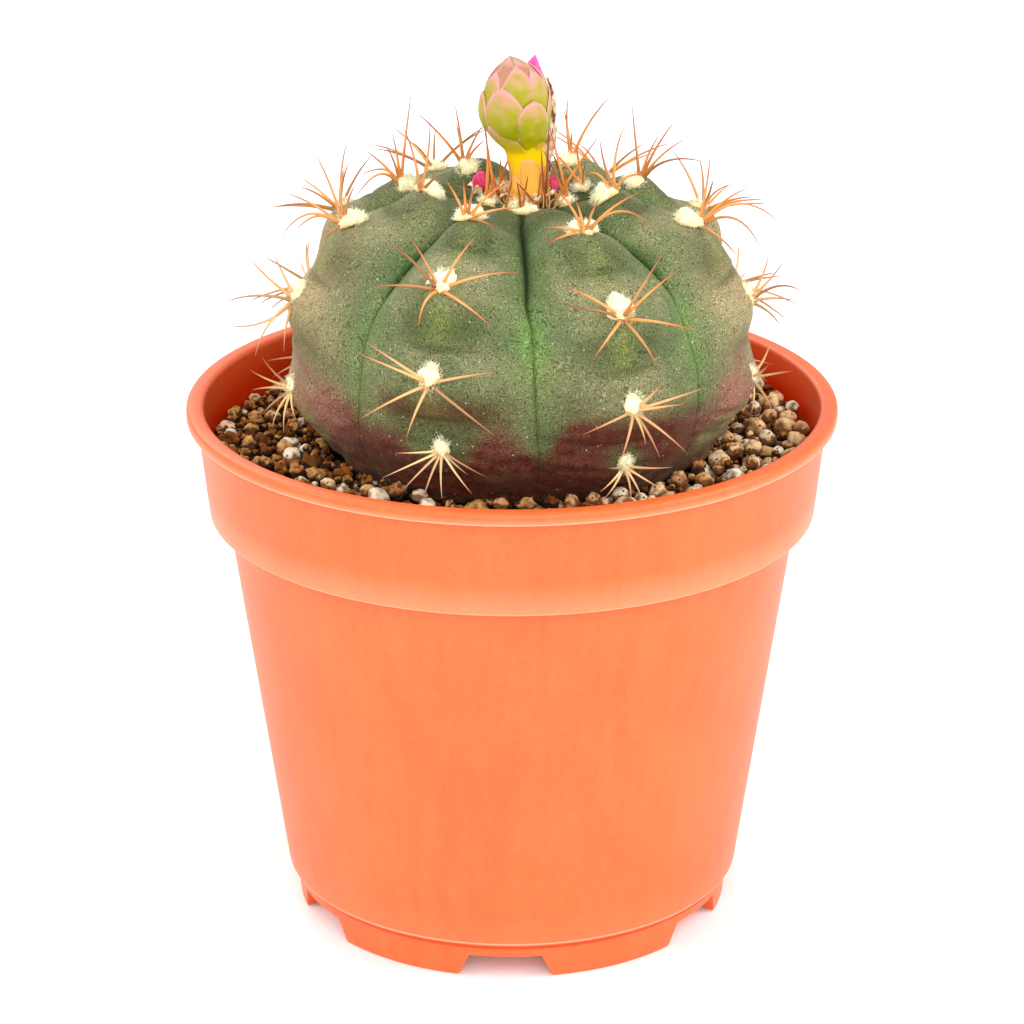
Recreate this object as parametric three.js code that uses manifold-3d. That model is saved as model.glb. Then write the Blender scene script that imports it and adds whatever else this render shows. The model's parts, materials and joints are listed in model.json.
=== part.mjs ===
// A round chin cactus in a plastic nursery pot, in millimetres with +Z up.
// The origin is the centre of the circle that the pot's foot stands on, and the viewer is at -Y.
// Azimuths are degrees from the front (-Y) towards +X.
import * as THREE from 'three';
import { mergeVertices } from 'three/addons/utils/BufferGeometryUtils.js';
import Module from 'manifold-3d';

const wasm = await Module();
wasm.setup();

// Fit
const gap = 0.3;
const seed = 20;

// Pot: a 10.5 cm nursery pot with a rolled lip, a deep collar and a notched foot
const rimRadius = 52.5;
const potHeight = 86.5;
const lipInnerRadius = 49.7;
const lipUnderZ = 84.5;
const lipRounding = 0.8;
const collarTopRadius = 50.86;
const collarFootRadius = 49.1;
const collarFootZ = 68.6;
const wallTopRadius = 46.24;
const wallFootRadius = 37.33;
const stepRise = 0.4;
const innerStepRise = 1.4;
const seamZ = 6.8;
const seamHeight = 1.2;
const footTopRadius = 36.1;
const footBottomRadius = 35.4;
const footRounding = 0.45;
const footWall = 1.5;
const footHeight = 4;
const potWall = 1.3;
const floorThickness = 1.5;
const notchCount = 6;
const notchAzimuth = -1.7;
const notchTopWidth = 11.6;
const notchBottomWidth = 15.4;
const drainHoles = 6;
const drainRadius = 2.5;
const drainCircle = 23;
const potSides = 48;

// Potting grit
const gritLevel = 80.6;
const gritDip = 2.4;
const gritDipAzimuth = 232;
const gritDipSpread = 40;
const gritRows = 3;
const gritPerRow = 52;
const gritInnerRadius = 33.6;
const crumbHeight = [1.1, 2.3];

// Stem: half outline of a rib's crest, from the crown's centre out, down and in to the root
const stemOffset = 1.4;
const crownShift = [0.4, 3];
const crownShiftEnd = 0.32;
const stemMiddleZ = 95;
const crest = [
  [0, 118.2], [5, 118.6], [10, 119.6], [14.5, 120.3], [19.5, 119.7], [25.2, 117.9],
  [30.6, 113.9], [34.2, 108.2], [36, 102.4], [36.8, 95.6], [36.2, 89.4], [33.4, 83.6],
  [29, 78.5], [22.5, 74], [14, 69.5], [6, 63], [2.5, 55], [0, 51],
];
// Each rib: azimuth of its crest, azimuth of the furrow after it, and its areoles down the crest,
// each with its own azimuth and its place on the crest line
const ribs = [
  {
    name: 'back_left', crest: -150, furrow: -132,
    areoles: [[-145, 0.184], [-150, 0.31], [-150, 0.45], [-150, 0.57]],
  },
  {
    name: 'left_rear', crest: -114, furrow: -97,
    areoles: [[-108, 0.23], [-114, 0.35], [-114, 0.48], [-114, 0.59]],
  },
  {
    name: 'left', crest: -78, furrow: -43,
    areoles: [[-79, 0.18], [-78, 0.308], [-78, 0.432], [-74, 0.559]],
  },
  {
    name: 'front_left', crest: -22, furrow: 3.2,
    areoles: [[-26, 0.205], [-23, 0.345], [-22, 0.475], [-19, 0.571]],
  },
  {
    name: 'front_right', crest: 26, furrow: 49.5,
    areoles: [[26, 0.249], [26.5, 0.384], [27, 0.514], [26, 0.604]],
  },
  {
    name: 'right', crest: 79, furrow: 99,
    areoles: [[74, 0.166], [78, 0.308], [81, 0.439], [76, 0.547]],
  },
  {
    name: 'right_rear', crest: 113, furrow: 135,
    areoles: [[110, 0.228], [113, 0.35], [113, 0.48], [113, 0.59]],
  },
  {
    name: 'back_right', crest: 154, furrow: -178,
    areoles: [[157, 0.235], [154, 0.34], [154, 0.46], [154, 0.575]],
  },
];
const furrowDepth = 0.14;
const furrowCentre = 0.22;
const furrowSpread = 0.15;
const creaseDepth = 0.05;
const creaseStart = 0.3;
const creaseFade = 0.45;
const crownFlat = 0.02;
const crownFade = 0.14;
const ribSharpness = 2.4;
const chinHeight = 1.6;
const chinDrop = 0.02;
const chinSpread = 0.032;
const rootStart = 0.62;
const chinFade = 0.1;
const leanAzimuth = -24;
const leanSpread = 30;
const leanAtCrown = -8;
const ribSteps = [-1, -0.84, -0.58, -0.3, 0, 0.3, 0.58, 0.84];
const stemRings = 20;
const skinPlaces = [0.03, 0.65];
const rootPlaces = [0.71, 0.79, 0.87, 0.95];

// Areoles: a woolly cushion with bent spines that radiate from it, given as clock angles from up
const woolRadius = 2.3;
const woolHeight = 1.7;
const lowWoolRadius = 1.5;
const lowWoolHeight = 1.3;
const youngWoolRadius = 1.7;
const youngWoolHeight = 1.4;
const woolSides = 6;
const spineRadius = 0.36;
const spineLength = [9.5, 12];
const lowSpineLength = [7, 9];
const youngSpineLength = [6.5, 9];
const spineRise = 27;
const lowSpineRise = 34;
const youngSpineRise = 58;
const spineBend = 0.05;
const clockSpread = 9;
const flankClock = [-60, 34, 85, 134, 205, 263];
const footClock = [-95, -128, -163, 163, 128, 92];
const crownClock = [-95, -5, 85, 175];

// Where a spine would touch something it is tried again, turned, raised and shortened a little
const spineTries = 14;
const tryTurn = 4;
const tryRise = 2.5;
const tryShorten = 0.02;
const skinClearance = 0.7;
const gritClearance = 4.2;
const potClearance = 1;

// Young areoles round the growing point: azimuth and place on the crest line
const youngAreoles = [[1, 0.052], [-85, 0.066], [83, 0.08], [-151, 0.084], [118, 0.125]];

// Flower bud: centre x, height and radius of each ring
const budY = 3.2;
const budRings = [
  [2.7, 119.2, 2.9], [2.7, 121, 2.8], [2.6, 123.3, 2.75], [2.1, 126.6, 3.3], [1.1, 129.5, 4.6],
  [0.55, 132, 5.3], [0.45, 134.5, 5.5], [0.6, 137.8, 5], [0.6, 139.8, 3.9], [0.15, 141.6, 2.1],
];
const budTip = [-0.5, 142.6];
const budSides = 14;
// Rows of overlapping scales: base height, tip height, half width in degrees, azimuths
const scaleRows = [
  { from: 119.6, to: 126.2, half: 42, at: [15, 135, -105] },
  { from: 127, to: 131.4, half: 34, at: [-48, 70, -160, 148] },
  { from: 129.4, to: 136.8, half: 38, at: [-18, 46, 118, -168, -95] },
  { from: 133.6, to: 140.4, half: 31, at: [4, 64, 136, -148, -66] },
];
const scaleLift = 0.45;
const scaleBulge = 0.35;
const scaleSink = 0.7;

// Young pink buds: azimuth, place on the crest line, radius, height
const pinkBuds = [
  { name: 'pink_bud_left', azimuth: -119, place: 0.09, radius: 1.4, height: 3.5 },
  { name: 'pink_bud_right', azimuth: 133, place: 0.08, radius: 1.2, height: 3.2 },
];

// Withered flower behind the bud: centre and radius of each ring of its dry tube
const witheredRings = [
  [4.8, 10.8, 119.6, 1.4], [5.2, 10.7, 122.5, 1.2], [5.5, 10.5, 126, 1.5], [5.5, 10.2, 130, 1.8],
  [5.2, 9.8, 134, 1.7], [4.8, 9.6, 137, 1.3],
];
const witheredSides = 8;
const petalCount = 4;
const petalLength = 4.5;
const petalWidth = 1.5;
const petalThickness = 0.7;

// Colours
const colours = {
  pot: 0xff8a5c,
  grit: 0x9c7345,
  stem: 0x6b7f62,
  areole: 0xeebf86,
  bud: 0xb5b84a,
  pink: 0xd63384,
  withered: 0x6b4630,
};

function randomSource(start) {
  let state = start;
  return () => {
    state = (state * 1664525 + 1013904223) % 4294967296;
    return state / 4294967296;
  };
}

function between(random, range) {
  return range[0] + (range[1] - range[0]) * random();
}

function bell(x, centre, spread) {
  return Math.exp(-(((x - centre) / spread) ** 2));
}

function clamp01(x) {
  return Math.min(1, Math.max(0, x));
}

// A vector that points level at the azimuth
function outward(azimuth) {
  const angle = THREE.MathUtils.degToRad(azimuth);
  return new THREE.Vector3(Math.sin(angle), -Math.cos(angle), 0);
}

// Closed bodies

function geometryFrom(points, faces) {
  const geometry = new THREE.BufferGeometry();
  geometry.setAttribute('position', new THREE.Float32BufferAttribute(points.flatMap((p) => [p.x, p.y, p.z]), 3));
  geometry.setIndex(faces.flat());
  return geometry;
}

function signedVolume(positions, index) {
  const corner = [0, 1, 2].map(() => new THREE.Vector3());
  let sum = 0;
  for (let i = 0; i < index.length; i += 3) {
    corner.forEach((v, k) => v.fromArray(positions, 3 * index[i + k]));
    sum += corner[0].dot(corner[1].cross(corner[2])) / 6;
  }
  return sum;
}

function solid(geometry) {
  const bare = geometry.clone();
  bare.deleteAttribute('normal');
  bare.deleteAttribute('uv');
  const merged = mergeVertices(bare, 1e-4);
  const positions = merged.attributes.position.array;
  const faces = [];
  for (let i = 0; i < merged.index.count; i += 3) {
    const [a, b, c] = [0, 1, 2].map((k) => merged.index.getX(i + k));
    if (a !== b && b !== c && c !== a) {
      faces.push(a, b, c);
    }
  }
  if (signedVolume(positions, faces) < 0) {
    faces.reverse();
  }
  return new wasm.Manifold(new wasm.Mesh({
    numProp: 3,
    vertProperties: new Float32Array(positions),
    triVerts: new Uint32Array(faces),
  }));
}

// The largest body of a join, so that loose scraps and sealed hollows go
function largest(body) {
  return body.decompose().sort((a, b) => b.volume() - a.volume())[0];
}

function join(bodies) {
  return largest(bodies.reduce((sum, body) => sum.add(body)));
}

function mesh(name, body, colour, roughness) {
  const data = body.getMesh();
  const geometry = new THREE.BufferGeometry();
  geometry.setAttribute('position', new THREE.BufferAttribute(new Float32Array(data.vertProperties), 3));
  geometry.setIndex(new THREE.BufferAttribute(new Uint32Array(data.triVerts), 1));
  geometry.computeVertexNormals();
  const material = new THREE.MeshStandardMaterial({ color: colour, roughness, metalness: 0 });
  const result = new THREE.Mesh(geometry, material);
  result.name = name;
  return result;
}

// A body of revolution about +Z from (radius, height) points
function turned(points, sides) {
  const geometry = new THREE.LatheGeometry(points.map(([r, z]) => new THREE.Vector2(r, z)), sides);
  return solid(geometry.rotateX(Math.PI / 2));
}

// Rings of points, each ring joined to the next, closed at both ends with a fan
function skinned(rings, first, last) {
  const sides = rings[0].length;
  const points = [...rings.flat(), first, last];
  const firstIndex = rings.length * sides;
  const faces = [];
  for (let i = 0; i < sides; i += 1) {
    const next = (i + 1) % sides;
    faces.push([firstIndex, next, i]);
    for (let k = 0; k + 1 < rings.length; k += 1) {
      const a = k * sides;
      const b = a + sides;
      faces.push([a + i, a + next, b + next], [a + i, b + next, b + i]);
    }
    const top = (rings.length - 1) * sides;
    faces.push([firstIndex + 1, top + i, top + next]);
  }
  return geometryFrom(points, faces);
}

// Pot

const floorTop = footHeight + floorThickness;
const innerLip = [lipInnerRadius, potHeight - lipRounding];
const innerWallTop = [wallTopRadius - potWall, collarFootZ + stepRise];
const innerCollarFoot = [collarFootRadius - potWall, innerWallTop[1] + innerStepRise];
const innerWallFoot = [wallFootRadius - potWall, floorTop];

// A slot through the foot's wall, wider at the bottom
function notch(azimuth) {
  const reach = footBottomRadius + 2 * footWall;
  const start = footBottomRadius - 2 * footWall;
  const half = [notchBottomWidth / 2, notchTopWidth / 2];
  const flare = (half[0] - half[1]) / footHeight;
  const outline = new THREE.Shape();
  outline.moveTo(-half[0] - flare, -1);
  outline.lineTo(half[0] + flare, -1);
  outline.lineTo(half[1], footHeight);
  outline.lineTo(-half[1], footHeight);
  outline.closePath();
  const geometry = new THREE.ExtrudeGeometry(outline, { depth: reach - start, bevelEnabled: false });
  geometry.rotateX(Math.PI / 2);
  geometry.translate(0, -start, 0);
  geometry.rotateZ(THREE.MathUtils.degToRad(azimuth));
  return solid(geometry);
}

function pot() {
  const profile = [
    [0, footHeight],
    [footBottomRadius - footWall, footHeight],
    [footBottomRadius - footWall, 0],
    [footBottomRadius - footRounding, 0],
    [footBottomRadius, footRounding],
    [footTopRadius, seamZ - seamHeight],
    [wallFootRadius, seamZ],
    [wallTopRadius, collarFootZ - stepRise],
    [collarFootRadius, collarFootZ],
    [collarTopRadius, lipUnderZ],
    [rimRadius - lipRounding, lipUnderZ],
    [rimRadius, lipUnderZ + lipRounding],
    [rimRadius, potHeight - lipRounding],
    [rimRadius - lipRounding, potHeight],
    [lipInnerRadius + lipRounding, potHeight],
    innerLip,
    innerCollarFoot,
    innerWallTop,
    innerWallFoot,
    [0, floorTop],
  ];
  let body = turned(profile, potSides);
  for (let i = 0; i < notchCount; i += 1) {
    body = body.subtract(notch(notchAzimuth + (360 / notchCount) * i));
  }
  for (let i = 0; i < drainHoles; i += 1) {
    const hole = new THREE.CylinderGeometry(drainRadius, drainRadius, 3 * floorThickness, 10);
    hole.rotateX(Math.PI / 2);
    const place = outward((360 / drainHoles) * i).multiplyScalar(drainCircle);
    hole.translate(place.x, place.y, floorTop - floorThickness / 2);
    body = body.subtract(solid(hole));
  }
  return mesh('pot', body, colours.pot, 0.55);
}

// Stem

const crestLine = new THREE.SplineCurve(crest.map(([r, z]) => new THREE.Vector2(r, z)));

// The rib at an azimuth, and the place across it: 0 on the crest, -1 and 1 in its furrows
function ribAt(azimuth) {
  const wrap = (x) => ((x % 360) + 360) % 360;
  let found = { across: 9 };
  ribs.forEach((rib, i) => {
    const before = ribs[(i + ribs.length - 1) % ribs.length];
    const away = wrap(azimuth - rib.crest + 180) - 180;
    const width = away >= 0 ? wrap(rib.furrow - rib.crest) : wrap(rib.crest - before.furrow);
    const across = away / width;
    if (Math.abs(across) < Math.abs(found.across)) {
      found = { rib, across };
    }
  });
  return found;
}

// How far the skin stands out from the crest line at a place (0 crown, 1 root end)
function relief(rib, across, place, radius) {
  const inward = furrowDepth * bell(place, furrowCentre, furrowSpread)
    + creaseDepth * clamp01(1 - (place - creaseStart) / creaseFade);
  const furrow = inward * clamp01((place - crownFlat) / crownFade) * Math.abs(across) ** ribSharpness;
  const chins = rib.areoles.reduce((sum, [, at]) => sum + bell(place, at + chinDrop, chinSpread), 0);
  const chin = chinHeight * chins * (1 - across * across) * clamp01(1 - (place - rootStart) / chinFade);
  return chin - furrow * Math.max(radius, 6);
}

// The skin at an azimuth and a place down the crest line, or a point lifted off it
function skinPoint(azimuth, place, lift = 0) {
  const at = crestLine.getPoint(clamp01(place));
  const step = 1e-3;
  const ahead = crestLine.getPoint(clamp01(place + step));
  const behind = crestLine.getPoint(clamp01(place - step));
  const along = ahead.sub(behind).normalize();
  const { rib, across } = ribAt(azimuth);
  const push = lift + relief(rib, across, place, at.x);
  const radius = at.x - along.y * push;
  const z = at.y + along.x * push;
  const near = clamp01(1 - place / crownShiftEnd);
  const eased = near * near * (3 - 2 * near);
  const lean = leanAtCrown * bell(azimuth, leanAzimuth, leanSpread) * eased;
  const point = outward(azimuth + lean).multiplyScalar(radius);
  return point.add(new THREE.Vector3(stemOffset + crownShift[0] * eased, crownShift[1] * eased, z));
}

function skinAzimuths() {
  return ribs.flatMap((rib, i) => {
    const before = ribs[(i + ribs.length - 1) % ribs.length];
    const left = (rib.crest - before.furrow + 360) % 360;
    const right = (rib.furrow - rib.crest + 360) % 360;
    return ribSteps.map((across) => rib.crest + across * (across < 0 ? left : right));
  });
}

function stem() {
  const rings = [];
  const azimuths = skinAzimuths();
  for (let k = 0; k < stemRings; k += 1) {
    const place = THREE.MathUtils.lerp(skinPlaces[0], skinPlaces[1], k / (stemRings - 1));
    rings.push(azimuths.map((azimuth) => skinPoint(azimuth, place)));
  }
  for (const place of rootPlaces) {
    rings.push(azimuths.map((azimuth) => skinPoint(azimuth, place)));
  }
  const geometry = skinned(rings, skinPoint(0, 0), skinPoint(0, 1));
  geometry.computeVertexNormals();
  return geometry;
}

const stemGeometry = stem();
const stemBody = solid(stemGeometry);

// The stem's room in the grit: its crest line, grown by a little more than the gap
function roomAt(place) {
  const at = crestLine.getPoint(place);
  const ahead = crestLine.getPoint(clamp01(place + 0.01));
  const behind = crestLine.getPoint(place - 0.01);
  const along = ahead.sub(behind).normalize();
  const room = place < 1 ? 1.5 * gap : 0;
  return [at.x - along.y * room, at.y + along.x * room - (place < 1 ? 0 : 2 * gap)];
}

// Potting grit

// The grit lies lower behind the stem on the left, where water has washed it down
function gritTopAt(azimuth) {
  return gritLevel - gritDip * bell(azimuth, gritDipAzimuth, gritDipSpread);
}

// The cells of the grit's top are hexagons between zigzag rings; each holds one crumb
function zigzag(random, row, step) {
  const t = row / gritRows;
  const edge = row === 0 || row === gritRows;
  return Array.from({ length: 2 * gritPerRow }, (_, k) => {
    const level = gritTopAt(k * step);
    const levelRadius = THREE.MathUtils.mapLinear(
      level, innerCollarFoot[1], innerLip[1], innerCollarFoot[0], innerLip[0],
    ) - gap;
    const width = (levelRadius - gritInnerRadius) / gritRows;
    const loose = edge ? 0 : between(random, [-0.12, 0.12]) * width;
    const tooth = edge ? 0 : (width / 6) * ((k + row) % 2 ? 1 : -1);
    const azimuth = (k + (edge ? 0 : between(random, [-0.2, 0.2]))) * step;
    const radius = gritInnerRadius + t * (levelRadius - gritInnerRadius) + tooth + loose;
    const point = outward(azimuth).multiplyScalar(radius);
    point.x += stemOffset * (1 - t);
    point.z = level + (edge ? 0 : between(random, [-0.5, 0.1]));
    return point;
  });
}

// A crumb stands on each cell: six sloping walls and a flat, tilted top
function crumbs(random, points, faces) {
  for (let row = 0; row < gritRows; row += 1) {
    for (let i = 0; i < gritPerRow; i += 1) {
      const count = 2 * gritPerRow;
      const middle = 2 * i + (row % 2);
      const around = [-1, 0, 1].map((d) => (middle + d + count) % count);
      const corners = [
        ...around.map((k) => row * count + k),
        ...[...around].reverse().map((k) => (row + 1) * count + k),
      ];
      const centre = new THREE.Vector3();
      corners.forEach((k) => centre.addScaledVector(points[k], 1 / 6));
      const height = between(random, crumbHeight);
      const first = points.length;
      corners.forEach((k) => {
        const top = points[k].clone().lerp(centre, between(random, [0.2, 0.45]));
        top.z = centre.z + height * between(random, [0.75, 1]);
        points.push(top);
      });
      for (let k = 0; k < 6; k += 1) {
        const next = (k + 1) % 6;
        faces.push([corners[k], first + next, corners[next]], [corners[k], first + k, first + next]);
      }
      for (let k = 1; k < 5; k += 1) {
        faces.push([first, first + k + 1, first + k]);
      }
    }
  }
}

// Joins a ring of 2n points to a ring of n points
function halve(faces, dense, sparse, count) {
  for (let i = 0; i < count; i += 1) {
    const next = (i + 1) % count;
    const here = dense + 2 * i;
    const beyond = dense + ((2 * i + 2) % (2 * count));
    faces.push([here, sparse + i, here + 1], [here + 1, sparse + i, sparse + next]);
    faces.push([here + 1, sparse + next, beyond]);
  }
}

// Joins two rings of as many points
function band(faces, from, to, count) {
  for (let i = 0; i < count; i += 1) {
    const next = (i + 1) % count;
    faces.push([from + i, to + i, to + next], [from + i, to + next, from + next]);
  }
}

function grit() {
  const random = randomSource(seed);
  const step = 180 / gritPerRow;
  const points = [];
  const faces = [];
  for (let row = 0; row <= gritRows; row += 1) {
    points.push(...zigzag(random, row, step));
  }
  crumbs(random, points, faces);
  const ring = ([radius, z], offset) => {
    const first = points.length;
    for (let i = 0; i < gritPerRow; i += 1) {
      points.push(outward(2 * i * step).multiplyScalar(radius).add(new THREE.Vector3(offset, 0, z)));
    }
    return first;
  };
  const outside = [
    [innerCollarFoot[0] - gap, innerCollarFoot[1] + gap],
    [innerWallTop[0] - gap, innerWallTop[1] + gap],
    [innerWallFoot[0] - gap, floorTop + gap],
  ].map((at) => ring(at, 0));
  const hollow = rootPlaces.map((place) => ring(roomAt(place), stemOffset));
  halve(faces, 2 * gritPerRow * gritRows, outside[0], gritPerRow);
  band(faces, outside[0], outside[1], gritPerRow);
  band(faces, outside[1], outside[2], gritPerRow);
  const inward = [];
  halve(inward, 0, hollow[0], gritPerRow);
  for (let i = 0; i + 1 < hollow.length; i += 1) {
    band(inward, hollow[i], hollow[i + 1], gritPerRow);
  }
  faces.push(...inward.map(([p, q, r]) => [p, r, q]));
  const ends = [
    [outside[2], new THREE.Vector3(0, 0, floorTop + gap)],
    [hollow[hollow.length - 1], new THREE.Vector3(stemOffset, 0, roomAt(1)[1])],
  ];
  ends.forEach(([first, centre], k) => {
    points.push(centre);
    for (let i = 0; i < gritPerRow; i += 1) {
      const fan = [first + i, points.length - 1, first + ((i + 1) % gritPerRow)];
      faces.push(k ? fan.reverse() : fan);
    }
  });
  return mesh('potting_grit', solid(geometryFrom(points, faces)), colours.grit, 0.95);
}

// Areoles

// A frame on the skin: the point, the way out, the way up the rib and the way to the right
function areoleFrame(azimuth, place) {
  const point = skinPoint(azimuth, place);
  const down = skinPoint(azimuth, place + 0.01).sub(skinPoint(azimuth, place - 0.01));
  const side = skinPoint(azimuth + 1, place).sub(skinPoint(azimuth - 1, place));
  const normal = down.clone().cross(side).normalize();
  const up = down.clone().negate().normalize();
  const right = up.clone().cross(normal);
  const wide = side.length() / 2;
  const long = down.length() / 0.02;
  let rise = 0;
  for (const [a, b] of [[1, 0], [-1, 0], [0, 1], [0, -1], [0.7, 0.7], [-0.7, 0.7], [0.7, -0.7], [-0.7, -0.7]]) {
    const edge = skinPoint(azimuth + (a * woolRadius) / wide, place + (b * woolRadius) / long);
    rise = Math.max(rise, edge.sub(point).dot(normal));
  }
  return { point: point.addScaledVector(normal, rise + gap), normal, up, right };
}

function onFrame(frame, x, y, z) {
  return frame.point.clone().addScaledVector(frame.right, x).addScaledVector(frame.up, y)
    .addScaledVector(frame.normal, z);
}

function wool(random, frame, radius, height) {
  const ring = (size, z) => Array.from({ length: woolSides }, (_, i) => {
    const angle = (2 * Math.PI * i) / woolSides;
    const reach = size * between(random, [0.88, 1.1]);
    return onFrame(frame, reach * Math.sin(angle), reach * Math.cos(angle), z);
  });
  const rings = [ring(0.85 * radius, 0), ring(radius, 0.5 * height)];
  return solid(skinned(rings, onFrame(frame, 0, 0, 0), onFrame(frame, 0, 0, height)));
}

function spine(path) {
  const [root, middle, tip] = path;
  const along = tip.clone().sub(root).normalize();
  const side = new THREE.Vector3(0.3, 0.2, 1).cross(along).normalize();
  const ring = (centre, radius) => [0, 1, 2].map((i) => (
    centre.clone().addScaledVector(side.clone().applyAxisAngle(along, (2 * Math.PI * i) / 3), radius)
  ));
  const rings = [ring(root, spineRadius), ring(middle, 0.75 * spineRadius)];
  const points = [...rings.flat(), tip];
  const faces = [[2, 1, 0]];
  for (let i = 0; i < 3; i += 1) {
    const next = (i + 1) % 3;
    faces.push([i, next, 3 + next], [i, 3 + next, 3 + i], [3 + i, 3 + next, 6]);
  }
  return solid(geometryFrom(points, faces));
}

// Least distance between two stretches, from points along the first
function stretchGap(a, b) {
  const line = new THREE.Line3(b.from, b.to);
  const probe = new THREE.Vector3();
  const nearest = new THREE.Vector3();
  let least = Infinity;
  for (let i = 0; i <= 8; i += 1) {
    probe.lerpVectors(a.from, a.to, i / 8);
    line.closestPointToPoint(probe, true, nearest);
    least = Math.min(least, probe.distanceTo(nearest) - a.radius - b.radius);
  }
  return least;
}

const skinVertices = [];
for (let i = 0; i < stemGeometry.attributes.position.count; i += 1) {
  skinVertices.push({
    point: new THREE.Vector3().fromBufferAttribute(stemGeometry.attributes.position, i),
    normal: new THREE.Vector3().fromBufferAttribute(stemGeometry.attributes.normal, i),
  });
}

function heightOverSkin(point) {
  let best = null;
  let least = Infinity;
  for (const vertex of skinVertices) {
    const away = vertex.point.distanceToSquared(point);
    if (away < least) {
      least = away;
      best = vertex;
    }
  }
  const out = point.clone().sub(best.point);
  const middle = new THREE.Vector3(stemOffset, 0, stemMiddleZ);
  const facesOut = best.normal.dot(best.point.clone().sub(middle)) > 0;
  return facesOut ? out.dot(best.normal) : -out.dot(best.normal);
}

const obstacles = [];

function capsule(owner, from, to, radius) {
  return { owner, from, to, radius };
}

// A bent spine that clears the skin, the grit, the pot and what is already placed, or nothing
function spinePath(random, owner, frame, style, clock, length) {
  for (let tries = 0; tries < spineTries; tries += 1) {
    const turn = THREE.MathUtils.degToRad(clock + tryTurn * (tries % 2 ? 1 : -1) * Math.ceil(tries / 2));
    const rise = THREE.MathUtils.degToRad(style.rise + tryRise * tries + between(random, [-3, 3]));
    const reach = length * (1 - tryShorten * tries);
    const level = frame.up.clone().multiplyScalar(Math.cos(turn)).addScaledVector(frame.right, Math.sin(turn));
    const way = level.clone().multiplyScalar(Math.cos(rise)).addScaledVector(frame.normal, Math.sin(rise));
    const root = onFrame(frame, 0, 0, 0.5 * style.height).addScaledVector(level, 0.25 * style.radius);
    const tip = root.clone().addScaledVector(way, reach);
    const middle = root.clone().addScaledVector(way, 0.5 * reach)
      .addScaledVector(frame.normal, spineBend * reach);
    const parts = [capsule(owner, root, middle, spineRadius), capsule(owner, middle, tip, spineRadius)];
    const probes = [0.35, 0.7, 1].flatMap((t) => parts.map((p) => p.from.clone().lerp(p.to, t)));
    const clear = probes.every((p) => (
      heightOverSkin(p) > skinClearance && p.z > gritLevel + gritClearance
        && Math.hypot(p.x, p.y) < innerCollarFoot[0] - potClearance
    ));
    const apart = clear && obstacles.every((o) => (
      o.owner === owner || parts.every((p) => stretchGap(p, o) > gap)
    ));
    if (apart) {
      obstacles.push(...parts);
      return [root, middle, tip];
    }
  }
  return null;
}

const flankStyle = {
  radius: woolRadius, height: woolHeight, rise: spineRise, clock: flankClock, length: spineLength,
};
const footStyle = {
  radius: lowWoolRadius, height: lowWoolHeight, rise: lowSpineRise, clock: footClock, length: lowSpineLength,
};
const crownStyle = {
  radius: youngWoolRadius, height: youngWoolHeight, rise: youngSpineRise, clock: crownClock,
  length: youngSpineLength,
};

function areoles() {
  const random = randomSource(seed + 1);
  const list = [];
  for (const rib of ribs) {
    rib.areoles.forEach(([azimuth, place], k) => {
      const style = k === rib.areoles.length - 1 ? footStyle : flankStyle;
      list.push({ name: `areole_${rib.name}_${k + 1}`, azimuth, place, style });
    });
  }
  youngAreoles.forEach(([azimuth, place], k) => {
    list.push({ name: `areole_crown_${k + 1}`, azimuth, place, style: crownStyle });
  });
  for (const areole of list) {
    areole.frame = areoleFrame(areole.azimuth, areole.place);
    const { height, radius } = areole.style;
    const low = onFrame(areole.frame, 0, 0, 0.3 * height);
    const high = onFrame(areole.frame, 0, 0, 0.6 * height);
    obstacles.push(capsule(areole.name, low, high, radius));
  }
  return list.map(({ name, frame, style }) => {
    const bodies = [wool(random, frame, style.radius, style.height)];
    for (const clock of style.clock) {
      const about = clock + between(random, [-clockSpread, clockSpread]);
      const path = spinePath(random, name, frame, style, about, between(random, style.length));
      if (path) {
        bodies.push(spine(path));
      }
    }
    return mesh(name, join(bodies), colours.areole, 0.8);
  });
}

// Flower bud

function budRadius(z) {
  for (let i = 0; i + 1 < budRings.length; i += 1) {
    const [x0, z0, r0] = budRings[i];
    const [x1, z1, r1] = budRings[i + 1];
    if (z <= z1) {
      const t = clamp01((z - z0) / (z1 - z0));
      return { x: x0 + t * (x1 - x0), radius: r0 + t * (r1 - r0) };
    }
  }
  const [x, , radius] = budRings[budRings.length - 1];
  return { x, radius };
}

function budPoint(azimuth, z, lift) {
  const { x, radius } = budRadius(z);
  return outward(azimuth).multiplyScalar(radius + lift).add(new THREE.Vector3(x, budY, z));
}

// A scale hugs the bud: its rounded outline, a raised middle and a sunk back
function budScale(azimuth, row) {
  const outline = [[-0.6, 0], [-1, 0.4], [-0.75, 0.8], [0, 1], [0.75, 0.8], [1, 0.4], [0.6, 0]];
  const at = ([a, b], lift) => budPoint(azimuth + a * row.half, row.from + b * (row.to - row.from), lift);
  const edge = outline.map((p) => at(p, scaleLift));
  const back = outline.map((p) => at(p, -scaleSink));
  return solid(skinned([back, edge], at([0, 0.5], -2 * scaleSink), at([0, 0.5], scaleLift + scaleBulge)));
}

function flowerBud() {
  const rings = budRings.map(([x, z, radius]) => Array.from({ length: budSides }, (_, i) => (
    outward((360 * i) / budSides).multiplyScalar(radius).add(new THREE.Vector3(x, budY, z))
  )));
  const first = new THREE.Vector3(budRings[0][0], budY, budRings[0][1]);
  const last = new THREE.Vector3(budTip[0], budY, budTip[1]);
  const bodies = [solid(skinned(rings, first, last))];
  for (const row of scaleRows) {
    for (const azimuth of row.at) {
      bodies.push(budScale(azimuth, row));
    }
  }
  return mesh('flower_bud', join(bodies), colours.bud, 0.5);
}

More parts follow.
